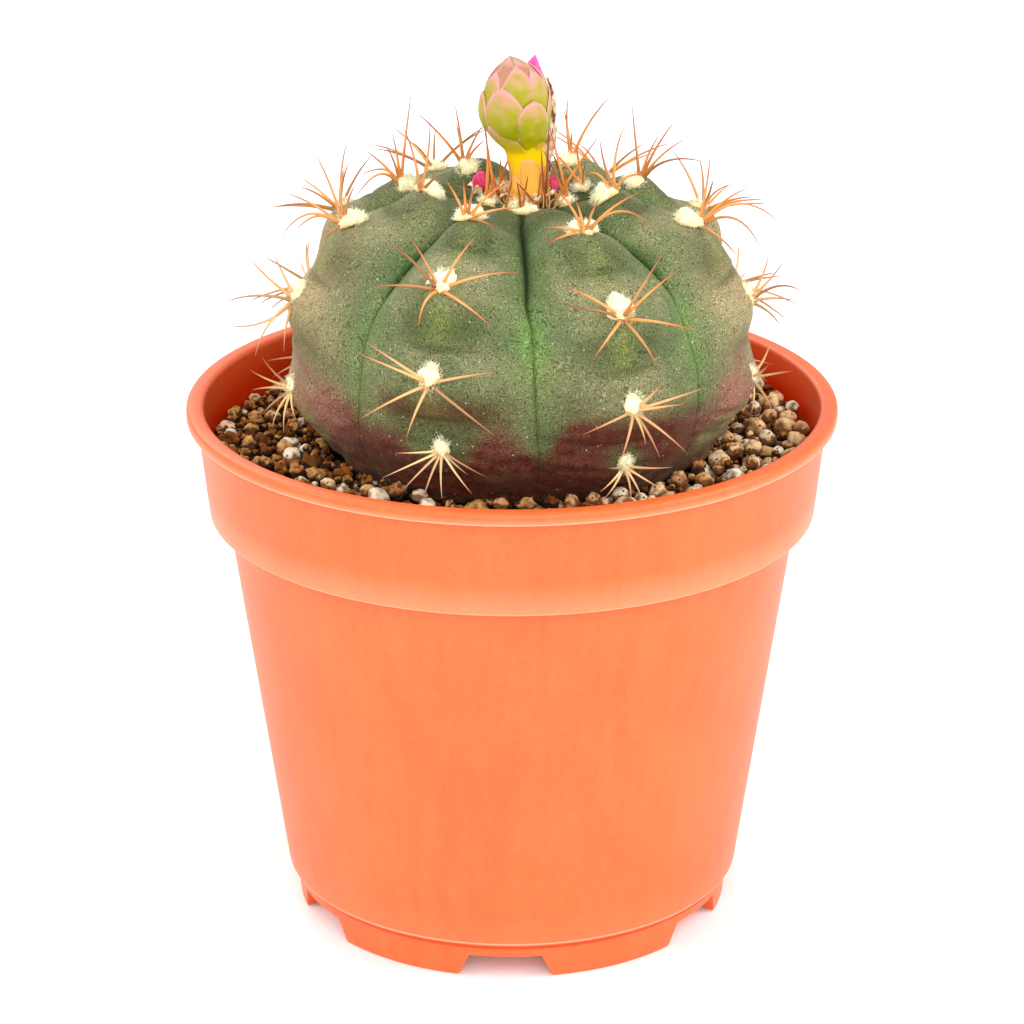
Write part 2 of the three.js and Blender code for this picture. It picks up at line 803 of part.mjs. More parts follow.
// A young pink bud is a small egg on the crown
function pinkBud({ name, azimuth, place, radius, height }) {
  const foot = skinPoint(azimuth, place, gap);
  const egg = [[0.55, 0.1], [0.95, 0.3], [1, 0.5], [0.75, 0.78], [0.35, 0.95]];
  const rings = egg.map(([r, h]) => Array.from({ length: 8 }, (_, i) => (
    outward(45 * i).multiplyScalar(radius * r).add(new THREE.Vector3(foot.x, foot.y, foot.z + height * h))
  )));
  const first = foot.clone().setZ(foot.z + 0.1 * height);
  const body = solid(skinned(rings, first, foot.clone().setZ(foot.z + height)));
  return mesh(name, body, colours.pink, 0.45);
}

// Withered flower

function witheredTube() {
  const random = randomSource(seed + 2);
  const rings = witheredRings.map(([x, y, z, radius]) => Array.from({ length: witheredSides }, (_, i) => (
    outward((360 * i) / witheredSides).multiplyScalar(radius * between(random, [0.78, 1.12]))
      .add(new THREE.Vector3(x, y, z))
  )));
  const [x0, y0, z0] = witheredRings[0];
  const [x1, y1, z1] = witheredRings[witheredRings.length - 1];
  const body = solid(skinned(rings, new THREE.Vector3(x0, y0, z0), new THREE.Vector3(x1, y1, z1)));
  return mesh('withered_flower_tube', body, colours.withered, 0.85);
}

function petal(foot, azimuth, length) {
  const out = outward(azimuth);
  const side = new THREE.Vector3(0, 0, 1).cross(out);
  const steps = [[0, 0, 1], [0.5, 0.55, 1], [0.85, 0.35, 0.75]];
  const rings = steps.map(([t, bow, width]) => {
    const centre = foot.clone().addScaledVector(out, 0.3 + bow).setZ(foot.z + t * length);
    const across = [-1, 1, 1, -1];
    const through = [-1, -1, 1, 1];
    return across.map((a, i) => centre.clone().addScaledVector(side, (a * width * petalWidth) / 2)
      .addScaledVector(out, (through[i] * petalThickness) / 2));
  });
  const first = foot.clone().addScaledVector(out, 0.3);
  const last = foot.clone().addScaledVector(out, 0.1).setZ(foot.z + length);
  return solid(skinned(rings, first, last));
}

function witheredPetals() {
  const random = randomSource(seed + 3);
  const [x, y, z, radius] = witheredRings[witheredRings.length - 1];
  const foot = new THREE.Vector3(x, y, z + gap);
  const core = new THREE.CylinderGeometry(0.5 * radius, 0.7 * radius, 0.5 * petalLength, 6);
  core.rotateX(Math.PI / 2);
  core.translate(x, y, foot.z + 0.25 * petalLength);
  const bodies = [solid(core)];
  for (let i = 0; i < petalCount; i += 1) {
    const azimuth = (360 / petalCount) * i + between(random, [-12, 12]);
    bodies.push(petal(foot, azimuth, petalLength * between(random, [0.75, 1])));
  }
  return mesh('withered_flower_petals', join(bodies), colours.pink, 0.6);
}

// What the spines must clear in the crown
for (const [x, z, radius] of budRings) {
  const centre = new THREE.Vector3(x, budY, z);
  obstacles.push(capsule('bud', centre, centre, radius + scaleLift + 0.4));
}
for (const [x, y, z, radius] of witheredRings) {
  const centre = new THREE.Vector3(x, y, z);
  obstacles.push(capsule('withered', centre, centre, 1.15 * radius + 0.9));
}
for (const { azimuth, place, radius, height } of pinkBuds) {
  const foot = skinPoint(azimuth, place, gap);
  obstacles.push(capsule('pink', foot, foot.clone().setZ(foot.z + height), radius));
}

const group = new THREE.Group();
const plant = new THREE.Group();
plant.add(mesh('cactus_stem', stemBody, colours.stem, 0.7), ...areoles());
plant.add(flowerBud(), ...pinkBuds.map(pinkBud), witheredTube(), witheredPetals());
group.add(pot(), grit(), plant);

export default group;
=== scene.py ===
# %% [markdown]
# # A round chin cactus in an orange nursery pot
# The real object is a small globe of green, waxy skin with eight ribs, in a thin moulded pot of grit. A
# flower bud stands on its crown, and each rib carries woolly cushions that spines grow out of. The solids
# that it is weighed and tested with are there already. This lesson builds each piece again at its real
# size, finely enough to be looked at closely, and gives it the finish of what it is made of.

# %% The frame and the tools
import json
import math

import bmesh
import bpy
import numpy as np
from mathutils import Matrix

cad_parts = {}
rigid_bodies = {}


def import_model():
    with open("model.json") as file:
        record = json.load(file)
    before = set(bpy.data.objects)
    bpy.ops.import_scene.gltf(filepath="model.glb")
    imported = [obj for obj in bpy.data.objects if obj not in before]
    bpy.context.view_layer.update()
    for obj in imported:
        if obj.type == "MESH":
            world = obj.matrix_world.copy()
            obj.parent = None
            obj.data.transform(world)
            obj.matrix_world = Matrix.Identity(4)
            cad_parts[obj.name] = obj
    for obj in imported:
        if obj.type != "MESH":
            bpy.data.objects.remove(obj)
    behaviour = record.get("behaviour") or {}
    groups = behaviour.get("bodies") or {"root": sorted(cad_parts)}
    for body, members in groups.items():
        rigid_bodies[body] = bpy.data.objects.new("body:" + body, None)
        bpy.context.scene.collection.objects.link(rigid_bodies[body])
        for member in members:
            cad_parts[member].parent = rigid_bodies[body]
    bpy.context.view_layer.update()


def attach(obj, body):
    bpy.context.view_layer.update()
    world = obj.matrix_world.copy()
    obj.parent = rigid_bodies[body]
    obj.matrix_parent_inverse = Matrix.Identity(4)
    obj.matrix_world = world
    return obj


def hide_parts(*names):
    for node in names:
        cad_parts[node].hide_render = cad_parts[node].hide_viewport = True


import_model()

MM = 0.001

# %% [markdown]
# ## Small tools
# A maker picks colours on a screen, while Blender wants linear light, so one function turns a screen colour
# to linear. Another adds a shader node: its sockets are given by name, or as a list in the order of those
# in use. That is value, from, to, least and most for a Map Range, and place, scale, detail and roughness
# for a noise. Every finish starts and ends in the same way.

# %% Colours and shader nodes
def linear(code):
    """The linear RGBA of an sRGB hex colour."""
    shares = [int(code[i:i + 2], 16) / 255 for i in (1, 3, 5)]
    return [s / 12.92 if s <= 0.04045 else ((s + 0.055) / 1.055) ** 2.4 for s in shares] + [1.0]


def add(finish, kind, inputs=(), stops=None, **settings):
    """Adds a node with its settings, its sockets' values or links and a ramp's stops. Gives its output."""
    tree = finish.node_tree
    node = tree.nodes.new("ShaderNode" + kind)
    for name, value in settings.items():
        setattr(node, name, value)
    if not isinstance(inputs, dict):
        inputs = dict(zip([i for i, socket in enumerate(node.inputs) if socket.enabled], inputs))
    for name, value in inputs.items():
        if isinstance(value, bpy.types.NodeSocket):
            tree.links.new(value, node.inputs[name])
        else:
            node.inputs[name].default_value = linear(value) if isinstance(value, str) else value
    for number, (place, code) in enumerate((stops or {}).items()):
        ramp = node.color_ramp.elements
        stop = ramp[number] if number < 2 else ramp.new(place)
        stop.position, stop.color = place, linear(code)
    ready = [socket for socket in node.outputs if socket.enabled]
    return next((socket for socket in ready if socket.name in ("Fac", "Object")), ready[0])


print("a mid grey in linear light:", round(linear("#808080")[0], 3))

# %% The start and the end of a finish
def start_finish(name, ior, roughness, gloss=0.5, inside=None, more=None):
    """A new finish. inside: the share of light that goes in, its depth in mm, and each colour's reach."""
    finish = bpy.data.materials.new(name)
    finish.use_nodes = True
    values = {"IOR": ior, "Roughness": roughness, "Specular IOR Level": gloss, **(more or {})}
    if inside:
        values["Subsurface Weight"], values["Subsurface Scale"] = inside[0], inside[1] * MM
        values["Subsurface Radius"] = inside[2:]
    for socket, value in values.items():
        finish.node_tree.nodes["Principled BSDF"].inputs[socket].default_value = value
    return finish


def end_finish(finish, colour, relief, strength, depth):
    """Gives a finish its colour, and a bump of a depth in mm that follows the relief."""
    tree, shader = finish.node_tree, finish.node_tree.nodes["Principled BSDF"]
    bump = add(finish, "Bump", {"Strength": strength, "Distance": depth * MM, "Height": relief})
    tree.links.new(colour, shader.inputs["Base Color"])
    tree.links.new(bump, shader.inputs["Normal"])
    print("finish:", finish.name)
    return finish


# %% [markdown]
# A closed skin over a stack of rings comes back everywhere on a plant: the stem, a spine, a bud and a petal
# are all rings with a point at each end. Their faces follow one pattern, so it is written once, and copies
# that share it are joined by counting on.

# %% Shapes from rings of points
def ring_faces(rows, sides):
    """Triangles of a closed skin: a first point, rows of rings, and a last point."""
    index = 1 + np.arange(rows * sides).reshape(rows, sides)
    along = np.roll(index, -1, axis=1)
    lower = np.stack([index[:-1], along[:-1], along[1:]], -1).reshape(-1, 3)
    upper = np.stack([index[:-1], along[1:], index[1:]], -1).reshape(-1, 3)
    first = np.stack([np.zeros(sides, int), along[0], index[0]], -1)
    last = np.stack([np.full(sides, rows * sides + 1), index[-1], along[-1]], -1)
    return np.concatenate([first, lower, upper, last])


def capped(first, rings, last):
    return np.concatenate([np.reshape(spots, (-1, 3)) for spots in (first, rings, last)])


def gather(copies, faces):
    """Joins copies that share one pattern of faces."""
    copies = np.array(copies)
    shift = np.arange(len(copies))[:, None, None] * copies.shape[1]
    return copies.reshape(-1, 3), (faces[None] + shift).reshape(-1, faces.shape[1])


def joined(shapes):
    """Joins several (points, faces, marks) into one."""
    start, faces = 0, []
    for points, triangles, _ in shapes:
        faces.append(triangles + start)
        start += len(points)
    marks = {name: np.concatenate([marks[name] for _, _, marks in shapes]) for name in shapes[0][2]}
    return np.concatenate([points for points, _, _ in shapes]), np.concatenate(faces), marks


print("faces round three rings of eight points:", len(ring_faces(3, 8)))

# %% From points to a piece of the part
def new_mesh(name, points, faces):
    """A mesh from points in millimetres, with its faces turned outwards."""
    a, b, c = (points[faces[:, k]] for k in range(3))
    inside_out = np.einsum("ij,ij->", a, np.cross(b, c)) < 0
    mesh = bpy.data.meshes.new(name)
    mesh.from_pydata((points * MM).tolist(), [], (faces[:, ::-1] if inside_out else faces).tolist())
    return mesh


def set_marks(mesh, marks):
    """Keeps a number for each point, which the finishes read by its name."""
    for name, values in marks.items():
        layer = mesh.attributes.new(name, "FLOAT", "POINT").data
        layer.foreach_set("value", np.asarray(values, np.float32).ravel())


def make_piece(name, points, faces, finish, slot, nodes, marks=None):
    """A smooth piece that rides on the part and stands for the named solids."""
    mesh = new_mesh(name, points, faces)
    set_marks(mesh, marks or {})
    mesh.shade_smooth()
    mesh.materials.append(finish)
    shape = bpy.data.objects.new(name, mesh)
    bpy.context.scene.collection.objects.link(shape)
    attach(shape, "root")
    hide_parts(*nodes)
    print(f"{name}: {len(faces)} triangles")
    return shape


# %% [markdown]
# Nothing that grew is even. Seeded sums of sine waves give soft lumps that are the same at every run. The
# smooth step also runs backwards: with its ends swapped it falls instead of rising.

# %% Soft unevenness
def lumps(points, size, seed, waves=14):
    """Smooth unevenness from about -1 to 1, in bumps that are about size millimetres wide."""
    dice = np.random.default_rng(seed)
    ways = dice.normal(size=(waves, 3))
    ways *= (math.pi / size * dice.uniform(0.7, 1.4, waves) / np.linalg.norm(ways, axis=1))[:, None]
    return np.sin(points @ ways.T + dice.uniform(0, 2 * math.pi, waves)).sum(-1) / math.sqrt(waves)


def bell(x, centre, spread):
    return np.exp(-(((x - centre) / spread) ** 2))


def step(x, start, end):
    t = np.clip((x - start) / (end - start), 0, 1)
    return t * t * (3 - 2 * t)


print("half way up a step and down it:", step(0.5, 0, 1), step(0.5, 1, 0))

# %% Ways, azimuths and smooth lines
def unit(vector):
    return vector / np.linalg.norm(vector, axis=-1, keepdims=True)


def off(azimuth, centre):
    """Degrees from centre, from -180 to 180."""
    return (np.asarray(azimuth) - centre + 180) % 360 - 180


def around(azimuth):
    """The level way at an azimuth in degrees, from the front towards the right."""
    angle = np.radians(azimuth)
    return np.stack([np.sin(angle), -np.cos(angle), np.zeros_like(angle)], -1)


def azimuth_of(x, y):
    return np.degrees(np.arctan2(x, -y))


def spline(points, t):
    """A smooth line through points, at t from 0 to 1, with every stretch given the same share of t."""
    points = np.asarray(points, float)
    last = len(points) - 1
    x = np.clip(t, 0, 1) * last
    i = np.minimum(x.astype(int), last - 1)
    w = (x - i)[..., None]
    before, here = points[np.maximum(i - 1, 0)], points[i]
    there, after = points[i + 1], points[np.minimum(i + 2, last)]
    leave, arrive = (there - before) / 2, (after - here) / 2
    return ((2 * here - 2 * there + leave + arrive) * w ** 3
            + (3 * there - 3 * here - 2 * leave - arrive) * w ** 2 + leave * w + here)


print("the level way at 90 degrees:", around(90.0).round(2))

# %% [markdown]
# ## The camera
# The picture was taken with a long lens from a little above. The camera's place was worked out from the
# pot's rim, collar and foot. A spot in the picture, in its 1024 pixel frame, gives a line of sight, which
# aims the spines below.

# %% The camera at the picture's angle
PICTURE = 1024
FOCAL = 4206.5
CAMERA = np.array([0, -640, 313.76])
PITCH = math.radians(21.11)
SENSOR = 36

lens = bpy.data.cameras.new("camera")
lens.sensor_width = SENSOR
lens.lens = SENSOR * FOCAL / PICTURE
lens.clip_end = 20
camera = bpy.data.objects.new("camera", lens)
camera.location = CAMERA * MM
camera.rotation_euler = (math.pi / 2 - PITCH, 0, 0)
bpy.context.scene.collection.objects.link(camera)
bpy.context.scene.camera = camera


def sight(x, y):
    """The way from the camera through a spot of the picture."""
    across, rise = (x - PICTURE / 2) / FOCAL, (PICTURE / 2 - y) / FOCAL
    ahead = np.array([0, math.cos(PITCH), -math.sin(PITCH)])
    up = np.array([0, math.sin(PITCH), math.cos(PITCH)])
    return unit(ahead + across * np.array([1, 0, 0]) + rise * up)


print("lens in mm:", round(lens.lens, 1))

# %% [markdown]
# ## The pot
# A nursery pot is moulded in one shot: a wall just over a millimetre thick, a collar that steps out so that
# pots stack without jamming, a rolled lip, and a foot ring that notches let water out of. A profile turned
# about the axis gives all but the notches and drain holes. Every corner of a moulding has a small radius,
# so each has its own here.

# %% The pot's profile
RIM_RADIUS, RIM_HEIGHT, LIP_FOOT = 52.5, 86.5, 84.5
COLLAR_FOOT = (49.1, 68.6)
COLLAR_TOP = 50.86
SEAM = (37.33, 6.8)
FOOT_HEIGHT, FLOOR_TOP = 4.0, 5.5
# Radius, height and rounding of each corner, from the floor's underside up the outside and down the inside
POT_CORNERS = [
    (0, FOOT_HEIGHT, 0), (33.9, FOOT_HEIGHT, 0.3), (33.9, 0, 0.3), (35.4, 0, 0.5), (36.1, 5.6, 0.5),
    (*SEAM, 0.3), (46.24, 68.2, 0.3), (*COLLAR_FOOT, 0.25), (COLLAR_TOP, LIP_FOOT, 0.3),
    (RIM_RADIUS, LIP_FOOT, 0.35), (RIM_RADIUS, RIM_HEIGHT, 0.9), (49.7, RIM_HEIGHT, 0.8), (47.8, 70.4, 0.8),
    (44.94, 69.0, 0.6), (36.03, FLOOR_TOP, 0.6), (0, FLOOR_TOP, 0),
]


def rounded(corners):
    t = np.linspace(0, 1, 5)[:, None]
    line = []
    for number, (*_, rounding) in enumerate(corners):
        here = np.array(corners[number][:2], float)
        if rounding == 0:
            line.append(here[None])
            continue
        back, ahead = (here + rounding * unit(corners[n][:2] - here) for n in (number - 1, number + 1))
        line.append((1 - t) ** 2 * back + 2 * t * (1 - t) * here + t ** 2 * ahead)
    return np.concatenate(line)


def filled_in(line, longest):
    """The same outline with points added where two lie further apart than longest."""
    points = [line[0]]
    for here, there in zip(line[:-1], line[1:]):
        parts = max(1, math.ceil(np.linalg.norm(there - here) / longest))
        points += [here + (there - here) * part / parts for part in range(1, parts + 1)]
    return np.array(points)


pot_line = filled_in(rounded(POT_CORNERS), 6)
print("points of the pot's profile:", len(pot_line))

# %% [markdown]
# The profile turned in 192 steps is round enough for a close look. A notch is a prism with flared, rounded
# lower corners, and a boolean takes six of them and six drain holes out of the turned body in one go.

# %% The turned pot, its notches and its drain holes
POT_SIDES = 192
NOTCHES, NOTCH_TURN = 6, -1.7
NOTCH_HALF_TOP, NOTCH_HALF_FOOT, NOTCH_CORNER = 5.85, 7.15, 1.2
NOTCH_REACH = (32.4, 40)
DRAIN_RADIUS, DRAIN_CIRCLE = 2.5, 23


def turned(line, sides):
    """Points and faces of a profile of (radius, height), turned about the axis from axis to axis."""
    spots = np.array(line, float)[:, None]
    rings = spots[..., :1] * around(np.arange(sides) * 360 / sides) + spots[..., 1:] * [0, 0, 1]
    return capped(rings[0, 0], rings[1:-1], rings[-1, 0]), ring_faces(len(line) - 2, sides)


def prism(outline, reach, azimuth):
    """Points and faces of an outline of (side, height), pushed outwards over a reach at an azimuth."""
    flat = around(azimuth + 90) * outline[:, :1] + [0, 0, 1] * outline[:, 1:]
    rings = np.array([flat + around(azimuth) * out for out in reach])
    return capped(rings[0].mean(0), rings, rings[1].mean(0)), ring_faces(2, len(outline))


def notch_outline():
    """Up one side and down the other: straight flanks and a flared, round foot."""
    turn = np.linspace(0, math.pi / 2, 6)
    x = NOTCH_HALF_FOOT + NOTCH_CORNER * (1 - np.sin(turn))
    z = NOTCH_CORNER * (1 - np.cos(turn))
    right = np.array([[x[0], -1.0], *zip(x, z), [NOTCH_HALF_TOP, FOOT_HEIGHT + 0.02]])
    return np.concatenate([right, right[::-1] * [-1, 1]])


def cutters():
    for i in range(NOTCHES):
        yield prism(notch_outline(), NOTCH_REACH, NOTCH_TURN + 360 / NOTCHES * i)
    for i in range(NOTCHES):
        points, faces = turned([(0, 2), (DRAIN_RADIUS, 2), (DRAIN_RADIUS, 8), (0, 8)], 32)
        yield points + around(60.0 * i) * DRAIN_CIRCLE, faces


print("the notch's outline has", len(notch_outline()), "points")

# %% [markdown]
# New polypropylene is satin: light skids off it at a low angle and it glows a little where it is thin. The
# melt leaves faint upright streaks and cloudy patches as it fills the mould. Corners that other pots rub on
# are worn pale, and the pale line there is also a painted highlight on the sharp edge. IOR 1.49 is its own.
# Inside, dust dulls its gloss, and its colour is painted a deeper red: painted shade and a painted
# reflection of its own orange.

# %% Moulded orange polypropylene
def polypropylene():
    finish = start_finish("moulded_orange_polypropylene", ior=1.49, roughness=0.42,
                          inside=(0.12, 1.5, 1.0, 0.35, 0.15))
    place = add(finish, "TexCoord")
    upright = add(finish, "Mapping", {"Vector": place, "Scale": (1, 1, 0.12)})
    # Streaks are about 2.4 mm wide, clouds 17 mm and the grain 0.8 mm
    streaks = add(finish, "TexNoise", [upright, 0.42 / MM, 3.0])
    clouds = add(finish, "TexNoise", [place, 0.06 / MM, 4.0])
    grain = add(finish, "TexNoise", [place, 1.3 / MM, 2.0])
    tones = add(finish, "Math", [add(finish, "Math", [streaks, clouds]), grain])
    share = add(finish, "MapRange", [tones, 1.0, 2.0])
    colour = add(finish, "ValToRGB", [share], {0.0: "#F05E22", 1.0: "#F46E34"})
    # The inner wall's deeper red is painted shade and painted reflection; the pale corners are wear with a
    # painted highlight
    for name, code in (("inside", "#DA3400"), ("rub_and_highlight", "#FFB890")):
        mark = add(finish, "Attribute", attribute_name=name)
        colour = add(finish, "Mix", [mark, colour, code], data_type="RGBA")
        if name == "inside":
            gloss = add(finish, "MapRange", [mark, 0.0, 1.0, 0.5, 0.1])
            shader = finish.node_tree.nodes["Principled BSDF"]
            finish.node_tree.links.new(gloss, shader.inputs["Specular IOR Level"])
    return end_finish(finish, colour, tones, strength=0.25, depth=0.05)


pot_finish = polypropylene()

# %% The pot
# Radius, height and size of each corner that is painted pale: rubbed wear, and a painted highlight on its
# edge
WORN_AND_LIT_CORNERS = [(RIM_RADIUS - 0.05, LIP_FOOT + 0.05, 0.26), (*COLLAR_FOOT, 0.22), (*SEAM, 0.18)]
# Height and radius of the outside, from the seam up to the lip
OUTSIDE = [(SEAM[1], SEAM[0]), (COLLAR_FOOT[1], 46.4), (COLLAR_FOOT[1] + 0.1, COLLAR_FOOT[0]),
           (LIP_FOOT, COLLAR_TOP)]
SHARP = math.radians(35)


def pot_marks(spots):
    radius, height = np.hypot(spots[:, 0], spots[:, 1]), spots[:, 2]
    rub_and_highlight = sum(np.exp(-((radius - r) ** 2 + (height - z) ** 2) / size ** 2) for r, z, size in WORN_AND_LIT_CORNERS)
    outside = np.interp(height, *zip(*OUTSIDE))
    # The inner wall, which the finish paints a deeper red as painted shade and painted reflection
    inside = step(outside - radius, 0.5, 1.0) * step(height, 5, 6) * step(height, 86.2, 85)
    return {"rub_and_highlight": np.clip(rub_and_highlight, 0, 1), "inside": np.clip(inside, 0, 1)}


def nursery_pot():
    pot = make_piece("nursery_pot", *turned(pot_line, POT_SIDES), pot_finish, "pot_plastic", ["pot"])
    group = bpy.data.collections.new("cutters")
    bpy.context.scene.collection.children.link(group)
    for points, faces in cutters():
        group.objects.link(bpy.data.objects.new("cutter", new_mesh("cutter", points, faces)))
    cut = pot.modifiers.new("cut", "BOOLEAN")
    cut.operand_type, cut.collection, cut.solver = "COLLECTION", group, "EXACT"
    bpy.context.view_layer.update()
    pot.data = bpy.data.meshes.new_from_object(pot.evaluated_get(bpy.context.evaluated_depsgraph_get()))
    pot.modifiers.remove(cut)
    for tool in list(group.objects):
        bpy.data.objects.remove(tool)
    bpy.data.collections.remove(group)
    pot.data.set_sharp_from_angle(angle=SHARP)
    spots = np.array([vertex.co[:] for vertex in pot.data.vertices]) / MM
    set_marks(pot.data, pot_marks(spots))
    print("pot faces after cutting:", len(pot.data.polygons))


nursery_pot()

# %% [markdown]
# ## The stem
# The stem is one grown body. A rib's crest follows one line from the sunken crown over the shoulder down to
# the root, and between two ribs the skin folds in to a furrow. Under every cushion the rib bulges to a
# blunt chin, which gives this kind of cactus its common name. The line and the folds are formulas, so the
# same ones make the skin, seat the cushions on it and keep the grit clear of it.

# %% The crest line and the ribs
STEM_X = 1.4
CROWN_SHIFT, CROWN_SHIFT_END = (0.4, 3.0), 0.32
# Radius and height of the crest, from the crown to the root's end
CREST = [
    (0, 118.2), (5, 118.6), (10, 119.6), (14.5, 120.3), (19.5, 119.7), (25.2, 117.9), (30.6, 113.9),
    (34.2, 108.2), (36, 102.4), (36.8, 95.6), (36.2, 89.4), (33.4, 83.6), (29, 78.5), (22.5, 74),
    (14, 69.5), (6, 63), (2.5, 55), (0, 51),
]
# For each rib: the azimuth of its crest and of the furrow after it, and its cushions' azimuths and places
RIBS = {
    "back_left": (-150, -132, ((-145, 0.184), (-150, 0.31), (-150, 0.45), (-150, 0.57))),
    "left_rear": (-114, -97, ((-108, 0.23), (-114, 0.35), (-114, 0.48), (-114, 0.59))),
    "left": (-78, -43, ((-79, 0.18), (-78, 0.308), (-78, 0.432), (-74, 0.559))),
    "front_left": (-22, 3.2, ((-26, 0.205), (-23, 0.345), (-22, 0.475), (-19, 0.571))),
    "front_right": (26, 49.5, ((26, 0.249), (26.5, 0.384), (27, 0.514), (26, 0.604))),
    "right": (79, 99, ((74, 0.166), (78, 0.308), (81, 0.439), (76, 0.547))),
    "right_rear": (113, 135, ((110, 0.228), (113, 0.35), (113, 0.48), (113, 0.59))),
    "back_right": (154, -178, ((157, 0.235), (154, 0.34), (154, 0.46), (154, 0.575))),
}
RIB_CREST = np.array([rib[0] for rib in RIBS.values()], float)
RIB_AFTER = np.array([rib[1] for rib in RIBS.values()], float)
RIB_BEFORE = np.roll(RIB_AFTER, 1)
RIB_CUSHIONS = np.array([[place for _, place in rib[2]] for rib in RIBS.values()])


def rib_at(azimuth):
    """The rib at an azimuth, the place across it from -1 to 1, and the degrees this half of it spans."""
    away = off(np.asarray(azimuth)[..., None], RIB_CREST)
    width = np.where(away >= 0, (RIB_AFTER - RIB_CREST) % 360, (RIB_CREST - RIB_BEFORE) % 360)
    rib = np.abs(away / width).argmin(-1)[..., None]
    across, half = (np.take_along_axis(values, rib, -1)[..., 0] for values in (away / width, width))
    return rib[..., 0], across, half


print("ribs:", len(RIBS), "spanning", ((RIB_AFTER - RIB_BEFORE) % 360).tolist(), "degrees")

# %% The folds and the chins
FURROW_DEPTH, FURROW_CENTRE, FURROW_SPREAD = 0.14, 0.22, 0.15
CREASE_DEPTH, CREASE_START, CREASE_FADE = 0.05, 0.3, 0.45
CROWN_FLAT, CROWN_FADE = 0.02, 0.14
RIB_SHARPNESS = 2.4
CHIN_HEIGHT, CHIN_DROP, CHIN_SPREAD = 1.6, 0.02, 0.032
ROOT_START, CHIN_FADE = 0.62, 0.1
LEAN_AZIMUTH, LEAN_SPREAD, LEAN_AT_CROWN = -24, 30, -8


def relief(azimuth, place, radius):
    """How far the skin stands out from the crest line. Places run from 0 at the crown to 1 at the root."""
    rib, across, _ = rib_at(azimuth)
    inward = (FURROW_DEPTH * bell(place, FURROW_CENTRE, FURROW_SPREAD)
              + CREASE_DEPTH * np.clip(1 - (place - CREASE_START) / CREASE_FADE, 0, 1))
    furrow = inward * np.clip((place - CROWN_FLAT) / CROWN_FADE, 0, 1) * np.abs(across) ** RIB_SHARPNESS
    chins = bell(np.asarray(place)[..., None], RIB_CUSHIONS[rib] + CHIN_DROP, CHIN_SPREAD).sum(-1)
    chin = CHIN_HEIGHT * chins * (1 - across ** 2) * np.clip(1 - (place - ROOT_START) / CHIN_FADE, 0, 1)
    return chin - furrow * np.maximum(radius, 6)


def skin_point(azimuth, place, lift=0.0):
    """A point of the skin, lifted off it in the plane of its crest line."""
    azimuth, place = np.broadcast_arrays(np.asarray(azimuth, float), np.asarray(place, float))
    line, tiny = spline(CREST, place), 1e-3
    along = unit(spline(CREST, place + tiny) - spline(CREST, place - tiny))
    push = relief(azimuth, place, line[..., 0]) + lift
    radius, height = line[..., 0] - along[..., 1] * push, line[..., 1] + along[..., 0] * push
    eased = step(place, CROWN_SHIFT_END, 0)
    way = around(azimuth + LEAN_AT_CROWN * bell(off(azimuth, LEAN_AZIMUTH), 0, LEAN_SPREAD) * eased)
    shift = np.stack([STEM_X + CROWN_SHIFT[0] * eased, CROWN_SHIFT[1] * eased, height], -1)
    return way * radius[..., None] + shift


print("the shoulder's top:", skin_point(0.0, 0.18).round(1), "widest at:", skin_point(80.0, 0.53).round(1))

# %% [markdown]
# Close up there is more: the furrow ends in a sharp crease with a soft lip on each side, a shallow fold
# runs under each chin, and the old skin near the soil is slack and wrinkled. These are fractions of a
# millimetre, so the solids leave them out and the mesh here has them. Its columns crowd together towards
# the furrows, where they are needed.

# %% The fine folds of the skin
# Height in mm and half width of each fine fold, in mm from the furrow or in places along the crest
CREASE, LIP, LIP_AWAY = (-0.7, 0.28), (0.22, 0.6), 1.15
VALLEY, CHIN_FOLD, FRONT_LOBES = (-0.9, 1.7), (-0.75, 0.0055), (0.9, 0.045)
FOLDS_BELOW = np.array([0.075, 0.091, 0.062, 0.05])
FOLD_SAG = 0.012
# How far a furrow strays from its azimuth, in degrees, at these places: the three in front, then the rest
STRAY_PLACES = [0.05, 0.13, 0.2, 0.29, 0.36, 0.4, 0.5, 0.6]
STRAYS = {3.2: [-3, -2.4, -1.6, -1.2, -1.8, -0.2, 0.2, 1.2], -43: [0, 0, 0.3, 0, -0.8, -1.4, -2, -1.6],
          49.5: [0, -0.8, -1, -0.6, 0.3, 0.7, 0.6, 0.6]}
OTHER_STRAY = [0, 0.8, -0.6, -1, 0.4, 0.8, -0.4, 0]
SKIN_COLUMNS, SKIN_ROWS, ROOT_ROWS = 40, 230, 24
SKIN_START, SKIN_END, ROOT_END = 0.012, 0.7, 0.985


def furrow_distance(azimuth, place):
    """How far a point of the skin lies from the nearest furrow, in millimetres."""
    _, across, width = rib_at(azimuth)
    return (1 - np.abs(across)) * np.radians(width) * np.maximum(spline(CREST, place)[..., 0], 3)


def strayed(azimuth, place):
    """The azimuth moved along with the nearest furrow, and left alone on the crests."""
    _, across, _ = rib_at(azimuth)
    amount = np.interp(place, STRAY_PLACES, OTHER_STRAY)
    for furrow, stray in STRAYS.items():
        amount = np.where(np.abs(off(azimuth, furrow)) < 25, np.interp(place, STRAY_PLACES, stray), amount)
    return azimuth + amount * np.abs(across) ** 2.5


def fold_below(across, place, rib, width):
    """The shallow fold under each chin, which sags in the middle."""
    sagging = place[..., None] + FOLD_SAG * across[..., None] ** 2
    return bell(sagging, RIB_CUSHIONS[rib] + FOLDS_BELOW, width).sum(-1)


